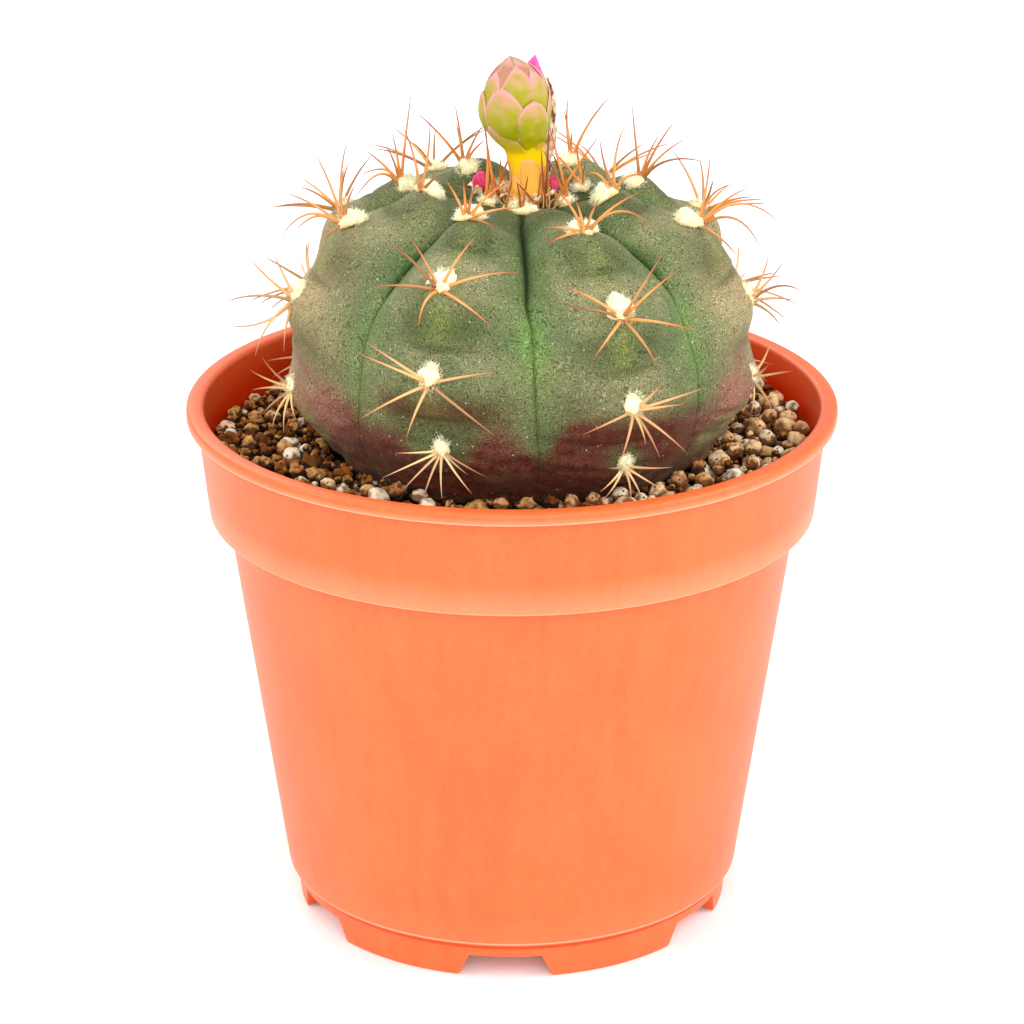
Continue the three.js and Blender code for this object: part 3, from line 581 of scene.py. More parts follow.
def fine_folds(azimuth, place):
    rib, across, _ = rib_at(azimuth)
    away = furrow_distance(azimuth, place)
    spots = skin_point(azimuth, place)
    shown = step(place, 0.05, 0.1) * (1 - 0.7 * step(place, 0.3, 0.4)) * step(place, 0.66, 0.5)
    crease = CREASE[0] * bell(away, 0, CREASE[1]) + LIP[0] * bell(away, LIP_AWAY, LIP[1])
    valley = VALLEY[0] * bell(away, 0, VALLEY[1]) * step(place, 0.03, 0.08) * step(place, 0.24, 0.13)
    fold = CHIN_FOLD[0] * fold_below(across, place, rib, CHIN_FOLD[1]) * bell(across, 0, 0.32)
    wrinkles = lumps(spots * [1, 1, 2.6], 3.2, 31) * (0.05 + 0.2 * step(place, 0.5, 0.62))
    swell = 0.32 * lumps(spots, 9, 32) + 0.1 * lumps(spots, 3.5, 33)
    lobes = FRONT_LOBES[0] * bell(place, 0.12, FRONT_LOBES[1])
    lobes = lobes * (bell(azimuth, -15, 9) + bell(azimuth, 22, 13))
    return shown * crease + valley + fold + wrinkles + swell + lobes


print("folds under the chins of a rib:", len(FOLDS_BELOW))

# %% The skin's points
def stem_grid():
    """Azimuths across all ribs, dense at the furrows, and places from the crown to the root."""
    half = np.sin(np.linspace(-1, 1, SKIN_COLUMNS, endpoint=False) * math.pi / 2)
    spans = zip(RIB_CREST, (RIB_CREST - RIB_BEFORE) % 360, (RIB_AFTER - RIB_CREST) % 360)
    azimuths = [crest + half * np.where(half < 0, left, right) for crest, left, right in spans]
    places = [np.linspace(SKIN_START, SKIN_END, SKIN_ROWS), np.linspace(SKIN_END, ROOT_END, ROOT_ROWS)[1:]]
    return np.meshgrid(np.concatenate(azimuths), np.concatenate(places))


stem_azimuth, stem_place = stem_grid()
stem_spots = skin_point(stem_azimuth, stem_place, fine_folds(stem_azimuth, stem_place))
turned_by = np.radians(strayed(stem_azimuth, stem_place) - stem_azimuth)
from_axis = stem_spots[..., :2] - [STEM_X, 0]
stem_spots[..., 0] = STEM_X + from_axis[..., 0] * np.cos(turned_by) - from_axis[..., 1] * np.sin(turned_by)
stem_spots[..., 1] = from_axis[..., 0] * np.sin(turned_by) + from_axis[..., 1] * np.cos(turned_by)
print("points of the skin:", stem_spots[..., 0].size)

# %% [markdown]
# The skin's colour is a map of how the stem grew and what light it had, with painted light and shade on
# top.
# New skin in the furrows is a fresh green, and each crease is painted dark as painted shade. The flats
# beside each cushion are weathered to a greyish tan, and the skin is painted paler where it turns away from
# the camera, as a painted rim light. A yellow-green streak runs down each chin, partly a painted highlight,
# and painted shade lies round the chins and in the sunken crown. Strong light has turned a wavy band near
# the soil maroon, but spared the lowest chins. Each of these is a mark from 0 to 1 at every point, and the
# finish paints with the marks.

# %% Marks of growth, and painted light and shade
# The azimuth that faces the camera: the skin is painted paler, as a painted rim light, as it turns away
FACING = 3
# How strongly the streak and the flats show at each cushion down a rib
STREAK_SHARE, FLATS_SHARE = (0.45, 0.9, 0.7, 0), (0.35, 0.8, 1)


def growth_and_painted_light_marks(azimuth, place, spots):
    rib, across, _ = rib_at(azimuth)
    away = furrow_distance(azimuth, place)
    below = place[..., None] - RIB_CUSHIONS[rib]
    upper_three, aside = below[..., :3], np.abs(across)
    wander = lumps(spots, 5, 41)
    turn = off(azimuth, FACING)
    sunlit = step(place, 0.33, 0.4)
    fresh = (0.42 + 0.2 * bell(turn, 0, 40)) * bell(away, 0, 3.2) + 0.5 * bell(away, 0, 1.4)
    fresh = fresh * step(place, 0.04, 0.12) * step(place, 0.58, 0.47) * (0.85 + 0.3 * wander)
    # A dark line in each crease, painted shade, wider near the crown
    line = bell(away, 0, 0.3 + 0.25 * (1 - sunlit))
    line = line * step(place, 0.04, 0.08) * (1 - 0.6 * step(place, 0.3, 0.42))
    # Paler skin where the stem turns away from the camera: a painted rim light
    painted_rim_light = step(np.abs(turn), 45, 85) * (0.1 + 0.9 * step(place, 0.28, 0.42))
    # A yellow-green streak below each cushion, partly its own colour and partly a painted highlight on the
    # chin
    streak = ((bell(below, 0.052, 0.026) + 0.6 * bell(below, -0.05, 0.02)) * STREAK_SHARE).sum(-1)
    streak = streak * bell(across, 0, 0.16) * step(place, 0.58, 0.52)
    tan_flats_and_rim_light = (bell(upper_three, -0.005, 0.05) * FLATS_SHARE).sum(-1) * bell(aside, 0.42, 0.26)
    tan_flats_and_rim_light = tan_flats_and_rim_light * (0.75 + 0.35 * wander) * (1 - 0.45 * step(place, 0.3, 0.45))
    # The weathered tan flats, with the painted rim light added to them
    tan_flats_and_rim_light = tan_flats_and_rim_light + 0.5 * painted_rim_light * (1 - fresh)
    tan_flats_and_rim_light = tan_flats_and_rim_light + 0.6 * bell(below[..., 1:3], -0.032, 0.016).sum(-1) * bell(across, 0, 0.5)
    shadow = (0.85 * bell(upper_three, 0.05, 0.032).sum(-1) * bell(aside, 0.34, 0.24)
              + 0.5 * bell(upper_three, 0.075, 0.03).sum(-1) * bell(across, 0, 0.5)
              + 1.9 * fold_below(across, place, rib, 0.0045) * bell(across, 0, 0.28)
              + 2.2 * step(place, 0.23, 0.09))
    return {"fresh": fresh * (1 - sunlit), "sap": fresh * sunlit, "line": line, "streak": streak,
            "shadow": shadow, "tan_flats_and_rim_light": tan_flats_and_rim_light, "painted_rim_light": painted_rim_light * (1 - 0.8 * fresh)}


stem_marks = growth_and_painted_light_marks(stem_azimuth, stem_place, stem_spots)
print("marks of growth:", ", ".join(stem_marks))

# %% Marks of sunburn, painted light and shade, and the darker base
# The maroon band's upper and lower edge in mm, by azimuth
MAROON_TOP = {-180: 92, -100: 93, -75: 94, -63: 94.3, -55: 95, -48: 94, -40: 92.8, -30: 92.2, -22: 89.5,
              -15: 88, -10: 92.5, -5: 94, 0: 92, 4: 89.5, 9: 93, 14: 95, 19: 94, 24: 92, 33: 92.5, 45: 92.3,
              52: 92.5, 59: 95, 75: 95.2, 100: 93, 180: 92}
MAROON_FOOT = {-180: 88, -64: 91, -58: 89.5, -54: 86.5, -50: 83.5, -20: 83, 30: 83, 46: 83.5, 51: 85.5,
               57: 90, 66: 90.8, 180: 88}
BAND_SOFTNESS = 2.1


def light_marks(azimuth, place, spots):
    rib, across, _ = rib_at(azimuth)
    below = place[..., None] - RIB_CUSHIONS[rib]
    turn, height = off(azimuth, 0), spots[..., 2]
    top = np.interp(turn, list(MAROON_TOP), list(MAROON_TOP.values())) + 0.7 * lumps(spots, 5, 42)
    foot = np.interp(turn, list(MAROON_FOOT), list(MAROON_FOOT.values())) + 0.6 * lumps(spots, 4, 43)
    # How near a point lies to the stem's outline as the camera sees it
    aside = step(np.abs(spots[..., 0] - STEM_X), 23, 34)
    soft = BAND_SOFTNESS + 0.3 * aside
    chin = bell(across, 0, 0.27) * bell(below[..., 3], -0.008, 0.024)
    band = step(height, foot - soft, foot + soft) * step(height, top + soft, top - soft)
    trail = 0.5 * bell(height, 95.5 + 0.2 * (np.abs(turn) - 61), 1.1) * bell(np.abs(turn), 68, 9)
    maroon = band * (1 - 0.85 * chin) * (1 - 0.15 * aside) + trail
    veil = 0.28 * step(height, top + 6.5, top - 1) * step(height, foot, foot + 2) * (1 - chin)
    veil = veil * (1 - 0.7 * bell(furrow_distance(azimuth, place), 0, 3)) * (1 - 0.85 * aside)
    hint = bell(below[..., 2], 0.04, 0.022) * step(np.abs(across), 0.85, 0.4) * step(height, 102, 96)
    maroon = np.clip(maroon + (1 - maroon) * veil + 0.55 * hint, 0, 1)
    # The maroon is painted paler towards the outline, as a painted rim light; the skin is darker from 86.5
    # mm down to 83 mm, just above the grit; and it is painted darker low in front, as painted shade
    return {"maroon": maroon, "maroon_rim_light": maroon * aside, "darker_above_grit": step(height, 86.5, 83.0),
            "lower_front_shade": step(height, 107, 96) * bell(azimuth, FACING, 34)}


stem_marks |= light_marks(stem_azimuth, stem_place, stem_spots)
print("share of the skin marked maroon:", round(float(stem_marks["maroon"].mean()), 3))

# %% [markdown]
# Cactus skin is a tough, waxy cuticle over wet tissue. It is matt to satin, its colour is dusted with a
# dense stipple of pale wax and dark pores, and light goes a little way in. The stipple is about 0.3 mm
# wide, as on the real skin, near the limit of what a picture of this size can show. Winding ridges of wax,
# 1.2 mm apart, are drawn coarser than they are so that they show.

# %% Waxy cactus skin
STIPPLE, RIDGES, RIDGE_FOLD = 0.3, 1.2, 0.06
# Each mark, its colour, how much of it shows and how ragged its edge is
# Painted light among them: the rim light on the flats and by itself, the shadow, the low front shade, the
# maroon's paler rim and the dark crease line; the streak is partly a painted highlight
SKIN_LAYERS = [
    ("tan_flats_and_rim_light", "#A29672", 0.65, 0.7), ("painted_rim_light", "#C8A078", 0.5, 0.4), ("fresh", "#456430", 0.8, 0.4),
    ("sap", "#70904A", 0.75, 0.5), ("streak", "#868E42", 0.65, 0.9), ("shadow", "#334018", 0.58, 0.3),
    ("lower_front_shade", "#40341C", 0.32, 0.1), ("maroon", "#5A1A1A", 0.9, 0.25), ("maroon_rim_light", "#A87468", 0.62, 0.3),
    ("darker_above_grit", "#540804", 0.9, 0.3), ("line", "#103C06", 0.92, 0.1),
]
# Dark pores and pale specks: spacing in mm, inner and outer size as a share of it, how much shows, colour
SKIN_DOTS = [(1.4, 0.1, 0.18, 0.45, "#26301A"), (1.9, 0.05, 0.085, 0.7, "#C8CC9C")]


def waxy_skin():
    sheen = {"Sheen Weight": 0.09, "Sheen Roughness": 0.45, "Sheen Tint": linear("#F6E6C8")}
    finish = start_finish("waxy_cactus_skin", ior=1.42, roughness=0.6, gloss=0.15,
                          inside=(0.04, 1.2, 0.5, 0.8, 0.3), more=sheen)
    place = add(finish, "TexCoord")
    broad = add(finish, "TexNoise", [place, 0.1 / MM, 3.0])
    colour = add(finish, "ValToRGB", [broad], {0.3: "#546440", 0.5: "#666F48", 0.7: "#7E8058"})
    ragged = add(finish, "TexNoise", [place, 0.7 / MM, 4.0])
    for name, code, strength, torn in SKIN_LAYERS:
        mark = add(finish, "Attribute", attribute_name=name)
        edge = add(finish, "MapRange", [ragged, 0.3, 0.7, 1 - torn, 1 + 0.4 * torn])
        frayed = add(finish, "Math", [mark, edge], operation="MULTIPLY")
        share = add(finish, "Math", [frayed, strength], operation="MULTIPLY", use_clamp=True)
        colour = add(finish, "Mix", [share, colour, code], data_type="RGBA")
    stipple = add(finish, "TexNoise", [place, 1 / (STIPPLE * MM), 2.0, 0.75, 2.0, 1.0])
    dusted = add(finish, "MapRange", [stipple, 0.38, 0.62, 0.7, 1.3])
    hills = add(finish, "TexNoise", [place, 1 / (RIDGES * MM), 0.0])
    folded = add(finish, "Math", [hills, RIDGE_FOLD], operation="PINGPONG")
    ridge = add(finish, "MapRange", [folded, 0.0, RIDGE_FOLD, 0.5, 1.5])
    for pale in (dusted, ridge):
        colour = add(finish, "Mix", [1.0, colour, pale], data_type="RGBA", blend_type="MULTIPLY")
    for spacing, inner, outer, shown, code in SKIN_DOTS:
        dots = add(finish, "TexVoronoi", [place, 1 / (spacing * MM)])
        dot = add(finish, "MapRange", [dots, inner, outer, shown, 0.0])
        colour = add(finish, "Mix", [dot, colour, code], data_type="RGBA")
    return end_finish(finish, colour, stipple, strength=0.5, depth=0.12)


# %% The stem
skin_finish = waxy_skin()
stem_points = capped(skin_point(0.0, 0.0) - [0, 0, 0.1], stem_spots, skin_point(0.0, 1.0))
marks = {name: np.pad(np.clip(mark, 0, 1).ravel(), 1) for name, mark in stem_marks.items()}
stem_faces = ring_faces(*stem_spots.shape[:2])
make_piece("stem", stem_points, stem_faces, skin_finish, "stem_skin", ["cactus_stem"], marks)

# %% [markdown]
# ## The grit
# The pot is filled with a draining mix: tan and brown crumbs of fired clay and pale, rounded pumice, most
# of them 2 to 5 mm across. A simulation would pile them up, but it is slow, and a simpler rule does as
# well: a grain is tried at many spots and stays where it comes to rest lowest. Spots that would push it
# into the pot or the stem are left out.

# %% Room for the grit
GRIT_TOP, BED_TOP, CLEAR = 82.9, 77.0, 0.3
DIP, DIP_AZIMUTH, DIP_SPREAD = 2.4, -128, 40
INNER_HEIGHTS, INNER_RADII = (70.4, 85.7), (47.8, 49.7)
# Radius and height of the fill's corners below the grains, and where its top begins round the stem
BED_CORNERS = [(0, FLOOR_TOP + CLEAR), (35.7, FLOOR_TOP + CLEAR), (44.6, 69 + CLEAR), (47.5, 70.4 + CLEAR)]
BED_INNER = 29.3


def stem_radius(azimuth, height):
    """How far the stem reaches from its axis at a height near the soil."""
    line = skin_point(azimuth[:, None], np.linspace(0.52, 0.72, 40))
    radius = np.hypot(line[..., 0] - STEM_X, line[..., 1])
    return np.array([np.interp(height, z[::-1], r[::-1]) for z, r in zip(line[..., 2], radius)])


def dip(azimuth):
    """How much lower the grit lies behind the stem on the left."""
    return DIP * bell(off(azimuth, DIP_AZIMUTH), 0, DIP_SPREAD)


def pot_radius(height):
    """The pot's inside between its inner step and its lip."""
    return np.interp(height, INNER_HEIGHTS, INNER_RADII)


def bed():
    """The fill below the grains: a closed solid that follows the pot's inside and leaves the root room."""
    root = spline(CREST, np.linspace(0.73, 1, 9))
    root = [(radius + 0.7 * (radius > 0), height - 0.6) for radius, height in root]
    outline = [*BED_CORNERS, (pot_radius(BED_TOP) - CLEAR, BED_TOP), (BED_INNER, BED_TOP), *root]
    points, faces = turned(filled_in(np.array(outline, float), 2.5), 160)
    points[:, 0] += STEM_X * step(np.hypot(points[:, 0], points[:, 1]), 44, 30)
    top = bell(points[:, 2], BED_TOP, 1.0)
    points[:, 2] -= top * dip(azimuth_of(points[:, 0], points[:, 1]))
    points[:, 2] += top * (0.5 * lumps(points, 2.4, 51) + 0.3 * lumps(points, 1.1, 52))
    return points, faces


print("stem radius at soil level:", stem_radius(np.array([0.0, 90.0]), 82.0).round(1))

# %% Where each grain comes to rest
GRAINS, SMALL_FROM, TRIES = 1900, 1000, 36
GRAIN_RADIUS, SMALL_RADIUS = (0.9, 2.5), (0.4, 0.95)
# Grains are dented, so they touch a little closer than spheres would
TOUCH = 0.97
STEM_LEVELS = (79.0, 81.0, 83.0, 85.0)


def settled_grains():
    """Middles and radii of grains, each dropped on those before it where it comes to rest lowest."""
    dice = np.random.default_rng(61)
    rim = np.linspace(-180, 180, 241)
    inner = [stem_radius(rim, level) for level in STEM_LEVELS]
    middles, radii = np.zeros((0, 3)), np.zeros(0)
    for number in range(GRAINS):
        least, most = GRAIN_RADIUS if number < SMALL_FROM else SMALL_RADIUS
        size = least + (most - least) * dice.beta(1.5, 2.0)
        azimuth = dice.uniform(-180, 180, TRIES)
        wall = pot_radius(80) - size - 0.2
        spots = around(azimuth)[:, :2] * np.sqrt(dice.uniform(30 ** 2, wall ** 2, TRIES))[:, None]
        rest = BED_TOP - dip(azimuth) + 0.6 * size
        if len(radii):
            apart = np.linalg.norm(spots[:, None] - middles[None, :, :2], axis=2)
            touch = (size + radii) * TOUCH
            rise = np.sqrt(np.maximum(touch ** 2 - apart ** 2, 0))
            rest = np.maximum(rest, np.where(apart < touch, middles[:, 2] + rise, 0).max(1))
        from_stem = spots - [STEM_X, 0]
        own = azimuth_of(*from_stem.T)
        stem_there = np.stack([np.interp(own, rim, radius) for radius in inner], 1)
        room = np.array([np.interp(z, STEM_LEVELS, row) for z, row in zip(rest + 0.6 * size, stem_there)])
        fits = np.hypot(*from_stem.T) > room + 0.75 * size
        fits &= rest + size < GRIT_TOP - 0.4 - dip(azimuth)
        if fits.any():
            best = np.flatnonzero(fits)[rest[fits].argmin()]
            middles = np.vstack([middles, [*spots[best], rest[best]]])
            radii = np.append(radii, size)
    return middles, radii


grain_middles, grain_radii = settled_grains()
print("grains at rest:", len(grain_radii), "highest:", round((grain_middles[:, 2] + grain_radii).max(), 2))

# %% [markdown]
# A grain is a sphere of triangles, stretched, turned and dented. Pumice wears round and keeps its open
# pores, while fired clay breaks to blunt, hollowed crumbs, so the clay is dented more deeply and in bigger
# facets. The two are separate pieces because their finishes differ. Grains that lie deep get fewer faces,
# since only their tops show.

# %% Grains from dented spheres
LEAST_STRETCH, MOST_STRETCH = [0.86, 0.78, 0.7], [1.2, 1.02, 0.98]


def sphere(detail):
    ball = bmesh.new()
    bmesh.ops.create_icosphere(ball, subdivisions=detail, radius=1)
    points = np.array([vertex.co[:] for vertex in ball.verts])
    faces = np.array([[vertex.index for vertex in face.verts] for face in ball.faces])
    ball.free()
    return points, faces


def grain_shapes(chosen, detail, dent, seed):
    """Points, faces and marks of the chosen grains: a tone for each, and how dark each point is painted, in
    its dents and, as painted shade, on its underside.
    """
    ball, faces = sphere(detail)
    dice = np.random.default_rng(seed)
    copies, tones, hollow = [], [], []
    for number in chosen:
        stretch = dice.uniform(LEAST_STRETCH, MOST_STRETCH)
        attitude, _ = np.linalg.qr(dice.normal(size=(3, 3)))
        stretched = ball * stretch @ attitude
        spots = ball + dice.uniform(-50, 50, 3)
        hollows = -np.abs(lumps(spots, 0.9, seed + 1)) + 0.55 * lumps(spots, 0.45, seed + 2)
        bumps = 1 + dent * hollows + 0.4 * dent * lumps(spots, 0.24, seed + 3)
        copies.append(grain_middles[number] + stretched * bumps[:, None] * grain_radii[number])
        tones.append(np.full(len(ball), dice.uniform()))
        # Darker in the dents, and darker over the lower side of each grain as painted shade
        hollow.append(1 - np.clip(hollows * 0.45 + 0.92, 0, 1) + 0.85 * step(-stretched[:, 2], -0.6, 0.3))
    points, triangles = gather(copies, faces)
    points[:, 2] = np.minimum(points[:, 2], GRIT_TOP)
    return points, triangles, {"tone": np.concatenate(tones), "hollow": np.concatenate(hollow)}


print("faces of one dented sphere:", [len(sphere(detail)[1]) for detail in (2, 3)])

# %% [markdown]
# Fired clay is dry and matt, tan on its worn faces and dark brown in its hollows, where fines collect.
# Every grain is painted darker on its underside, as painted shade. Pumice is a pale grey cream, and its
# pores are holes painted almost black, as painted shade. Both are rough at a scale well under a millimetre.
# The fill below the grains is painted almost black too: the fines' own dark brown and painted shade in the
# gaps.

# %% Fired clay, pumice and the fines below, with painted shade
def grit_finish(name, stops, hollow, pore_size, pore_share, roughness):
    finish = start_finish(name, ior=1.5, roughness=roughness, gloss=0.25)
    place = add(finish, "TexCoord")
    tone = add(finish, "Attribute", attribute_name="tone")
    cloud = add(finish, "TexNoise", [place, 1 / (1.6 * MM), 5.0, 0.65])
    share = add(finish, "MapRange", [add(finish, "Math", [tone, cloud]), 0.35, 1.55])
    colour = add(finish, "ValToRGB", [share], stops)
    deep = add(finish, "Attribute", attribute_name="hollow")
    dirt_and_shade_share = add(finish, "MapRange", [deep, 0.22, 0.78, 0.0, 0.9])
    # Pores: dark dots that are painted shade in the holes
    pores = add(finish, "TexVoronoi", [place, 1 / (pore_size * MM)])
    pore = add(finish, "MapRange", [pores, 0.1, 0.2, pore_share, 0.0])
    for shown, code in ((dirt_and_shade_share, hollow), (pore, "#2A1206")):
        colour = add(finish, "Mix", [shown, colour, code], data_type="RGBA")
    fine = add(finish, "TexNoise", [place, 1 / (0.35 * MM), 4.0])
    sunk = add(finish, "Math", [fine, pore], operation="SUBTRACT")
    return end_finish(finish, colour, sunk, strength=1.0, depth=0.3)


CLAY_TONES = {0.0: "#401A04", 0.5: "#9C581C", 1.0: "#E2AA66"}
PUMICE_TONES = {0.0: "#C07C30", 0.45: "#F8D09A", 1.0: "#FFF6E0"}
# For each: its tones, the colour of its dents and painted underside shade, a pore's size in mm, how much
# the painted dark pores show, and roughness
clay_finish = grit_finish("fired_clay_crumb", CLAY_TONES, "#140702", 0.8, 0.9, 0.9)
pumice_finish = grit_finish("pale_pumice", PUMICE_TONES, "#6E3608", 1.2, 0.95, 0.85)
# The fines are painted almost black: their own dark brown and painted shade in the gaps between grains
fines_and_gap_shade_finish = grit_finish("dark_fines_and_gap_shade", {0.0: "#0C0502", 1.0: "#2A1508"}, "#080301", 1.1, 0.5, 0.95)

# %% The grit
# The share of pumice goes from the first to the second over this stretch, from left to right. The darker
# clay on the left and in front also stands for the shade there, as painted shade
PUMICE_FROM, PUMICE_TO, PUMICE_STRETCH = 0.16, 0.95, (-30, 30)
SHOWN_LEVEL = 80.2
CLAY_DENT, PUMICE_DENT = 0.3, 0.1


def grit():
    points, faces = bed()
    plain = dict.fromkeys(("tone", "hollow"), np.zeros(len(points)))
    make_piece("grit_bed", points, faces, fines_and_gap_shade_finish, "grit", ["potting_grit"], plain)
    big = grain_radii > SMALL_RADIUS[1]
    fine = big & (grain_middles[:, 2] + grain_radii > SHOWN_LEVEL)
    pumice_share = np.interp(grain_middles[:, 0], PUMICE_STRETCH, (PUMICE_FROM, PUMICE_TO))
    pale = np.random.default_rng(62).uniform(size=len(grain_radii)) < pumice_share * (0.3 + 0.7 * big)
    for name, chosen, finish, dent, seed in (("clay_crumbs", ~pale, clay_finish, CLAY_DENT, 63),
                                             ("pumice_pebbles", pale, pumice_finish, PUMICE_DENT, 67)):
        points, faces, marks = joined([grain_shapes(np.flatnonzero(chosen & fine), 3, dent, seed),
                                       grain_shapes(np.flatnonzero(chosen & ~fine), 2, dent, seed + 9)])
        make_piece(name, points, faces, finish, "grit", ["potting_grit"], marks)


grit()

# %% [markdown]
# ## Cushions of wool
# A cactus flowers and grows its spines from areoles: small cushions of cream felt, one above each chin. A
# cushion is biggest on young growth near the crown and wears away further down. Each one sits square on the
# skin, so it needs the skin's own directions there: out of it, up the rib and to the right.

# %% A seat on the skin for each cushion
# Half width, half height and thickness of the wool, and how far below its middle the spines start, by age
AGES = [(2.85, 2.5, 1.9, 1.5), (2.4, 2.6, 1.8, 1.6), (1.95, 2.3, 1.5, 1.1), (1.3, 1.6, 1.2, 0.6)]
YOUNG, YOUNG_IN_FRONT = (1.7, 1.6, 1.5, 0.3), (3.0, 1.9, 1.9, 0.3)
YOUNG_SPOTS = [(1, 0.052), (-85, 0.066), (83, 0.08), (-151, 0.084), (118, 0.125)]
REAR_SHARE, REAR_FROM = 0.74, 100


class Seat:
    """Where a cushion sits: its point on the skin, the ways out, up the rib and right, and its size."""

    def __init__(self, name, azimuth, place, age):
        self.name = name
        self.half_width, self.half_height, self.thickness, self.drop = age
        self.point = skin_point(azimuth, place)
        down = skin_point(azimuth, place + 0.01) - skin_point(azimuth, place - 0.01)
        side = skin_point(azimuth + 1, place) - skin_point(azimuth - 1, place)
        self.out, self.up = unit(np.cross(down, side)), -unit(down)
        self.right = np.cross(self.up, self.out)

    def at(self, across, along, above):
        """A point on the seat, or an array of points."""
        across, along, above = (np.asarray(x, float)[..., None] for x in (across, along, above))
        return self.point + across * self.right + along * self.up + above * self.out


GROUPS = {}
for group, (crest, _, spots) in RIBS.items():
    share = REAR_SHARE if abs(crest) > REAR_FROM else 1
    GROUPS[group] = [Seat(f"{group}_{number + 1}", *spot, [size * share for size in AGES[number]])
                     for number, spot in enumerate(spots)]
GROUPS["crown"] = [Seat(f"crown_{number + 1}", *spot, YOUNG if number else YOUNG_IN_FRONT)
                   for number, spot in enumerate(YOUNG_SPOTS)]
print("cushions:", sum(len(members) for members in GROUPS.values()))

# %% [markdown]
# Felt is short, curled hair packed tight. A lumpy dome gives its body, and a few hundred short fibres that
# stand off the dome give the frayed outline that makes wool read as wool. They are real, thin, three-sided
# hairs: 0.09 mm is about twice a real fibre, which would be lost between two pixels.

# %% A dome of felt with loose fibres
DOME_ROWS, DOME_SIDES = 7, 18
FIBRES, FIBRE_RADIUS = 230, 0.045


def dome(seat, dice, seed):
    """A lumpy cushion, with its rim tucked into the skin."""
    tilt = np.linspace(0.5 * math.pi, 0.06, DOME_ROWS)[:, None]
    turn = np.linspace(0, 2 * math.pi, DOME_SIDES, endpoint=False)[None]
    across = seat.half_width * 0.88 * np.sin(tilt) * np.cos(turn)
    along = seat.half_height * 0.88 * np.sin(tilt) * np.sin(turn)
    spots = seat.at(across, along, seat.thickness * np.cos(tilt) - 0.3)
    ragged = 1 + 0.18 * lumps(spots, 1.3, seed)[..., None] + 0.09 * lumps(spots, 0.6, seed + 1)[..., None]
    top = seat.at(0, 0, seat.thickness - 0.25 + dice.uniform(-0.1, 0.1))
    return capped(seat.at(0, 0, -0.8), seat.point + (spots - seat.point) * ragged, top)


def fibres(seat, dice):
    """Short curled hairs that stand off the dome, more of them round its edge."""
    tilt = np.arccos(dice.uniform(0, 1, FIBRES) ** 1.4)
    turn = dice.uniform(0, 2 * math.pi, FIBRES)
    across = seat.half_width * 0.86 * np.sin(tilt) * np.cos(turn)
    along = seat.half_height * 0.86 * np.sin(tilt) * np.sin(turn)
    root = seat.at(across, along, seat.thickness * np.cos(tilt) - 0.35)
    out = unit(root - seat.at(0, 0, -1.2) + 0.55 * dice.normal(size=(FIBRES, 3)))
    curl = unit(np.cross(out, dice.normal(size=(FIBRES, 3))))
    length = dice.uniform(0.45, 1.15, FIBRES)[:, None]
    middle = root + out * length * 0.55 + curl * length * 0.1
    tip = root + out * length * 0.9 + curl * length * 0.45
    other = unit(np.cross(out, curl))
    rings = [centre + (math.cos(angle) * curl + math.sin(angle) * other) * radius
             for centre, radius in ((root, FIBRE_RADIUS), (middle, 0.8 * FIBRE_RADIUS))
             for angle in (0, 2.094, 4.189)]
    return np.stack([root - out * 0.05, *rings, tip], 1)


print("faces of one fibre:", len(ring_faces(2, 3)))

# %% [markdown]
# The wool is cream white at its top and honey-coloured deeper down, with brown gaps here and there.
# Loose fibre scatters light every way, so it has no gloss, a soft sheen at its outline and a lot of light
# inside it.

# %% Cream areole wool
def areole_wool():
    finish = start_finish("cream_areole_wool", ior=1.5, roughness=0.95, gloss=0.1,
                          inside=(0.35, 0.6, 1.0, 0.8, 0.5),
                          more={"Sheen Weight": 0.4, "Sheen Roughness": 0.4})
    place = add(finish, "TexCoord")
    tuft = add(finish, "TexNoise", [place, 1 / (0.8 * MM), 4.0])
    deep = add(finish, "Attribute", attribute_name="deep")
    share = add(finish, "MapRange", [add(finish, "Math", [deep, tuft]), 0.5, 1.5])
    colour = add(finish, "ValToRGB", [share], {0.0: "#FFFCD6", 0.5: "#FFF4BC", 1.0: "#F0C078"})
    gaps = add(finish, "TexNoise", [place, 1 / (1.5 * MM), 3.0])
    gap = add(finish, "MapRange", [gaps, 0.62, 0.72, 0.0, 0.4])
    colour = add(finish, "Mix", [gap, colour, "#B87A34"], data_type="RGBA")
    return end_finish(finish, colour, tuft, strength=0.6, depth=0.15)


wool_finish = areole_wool()

# %% The wool of each rib
def wool(group, members):
    dice = np.random.default_rng(70 + len(group))
    domes, hairs, deep = [], [], []
    for number, seat in enumerate(members):
        domes.append(dome(seat, dice, 71 + number))
        hairs.append(fibres(seat, dice))
        deep.append(np.clip(0.75 - (domes[-1] - seat.point) @ seat.out / seat.thickness, 0, 1))
    body = gather(domes, ring_faces(DOME_ROWS, DOME_SIDES))
    loose = gather(np.concatenate(hairs), ring_faces(2, 3))
    points, faces, marks = joined([(*body, {"deep": np.concatenate(deep)}),
                                   (*loose, {"deep": np.full(len(loose[0]), 0.05)})])
    nodes = [f"areole_{seat.name}" for seat in members]
    make_piece(f"wool_{group}", points, faces, wool_finish, "areole", nodes, marks)


for group, members in GROUPS.items():
    wool(group, members)

# %% [markdown]
# ## Spines
# Each cushion sends out four to eight awl-shaped spines that start straight and bend back towards the skin.
# Where they go is what gives this plant its face, so the tips that the picture shows were read off it, one
# by one. A tip lies where the line of sight through that spot is as far from its root as the spine is long,
# on the side away from the skin. Cushions that the picture doesn't show follow the same habit by rule.

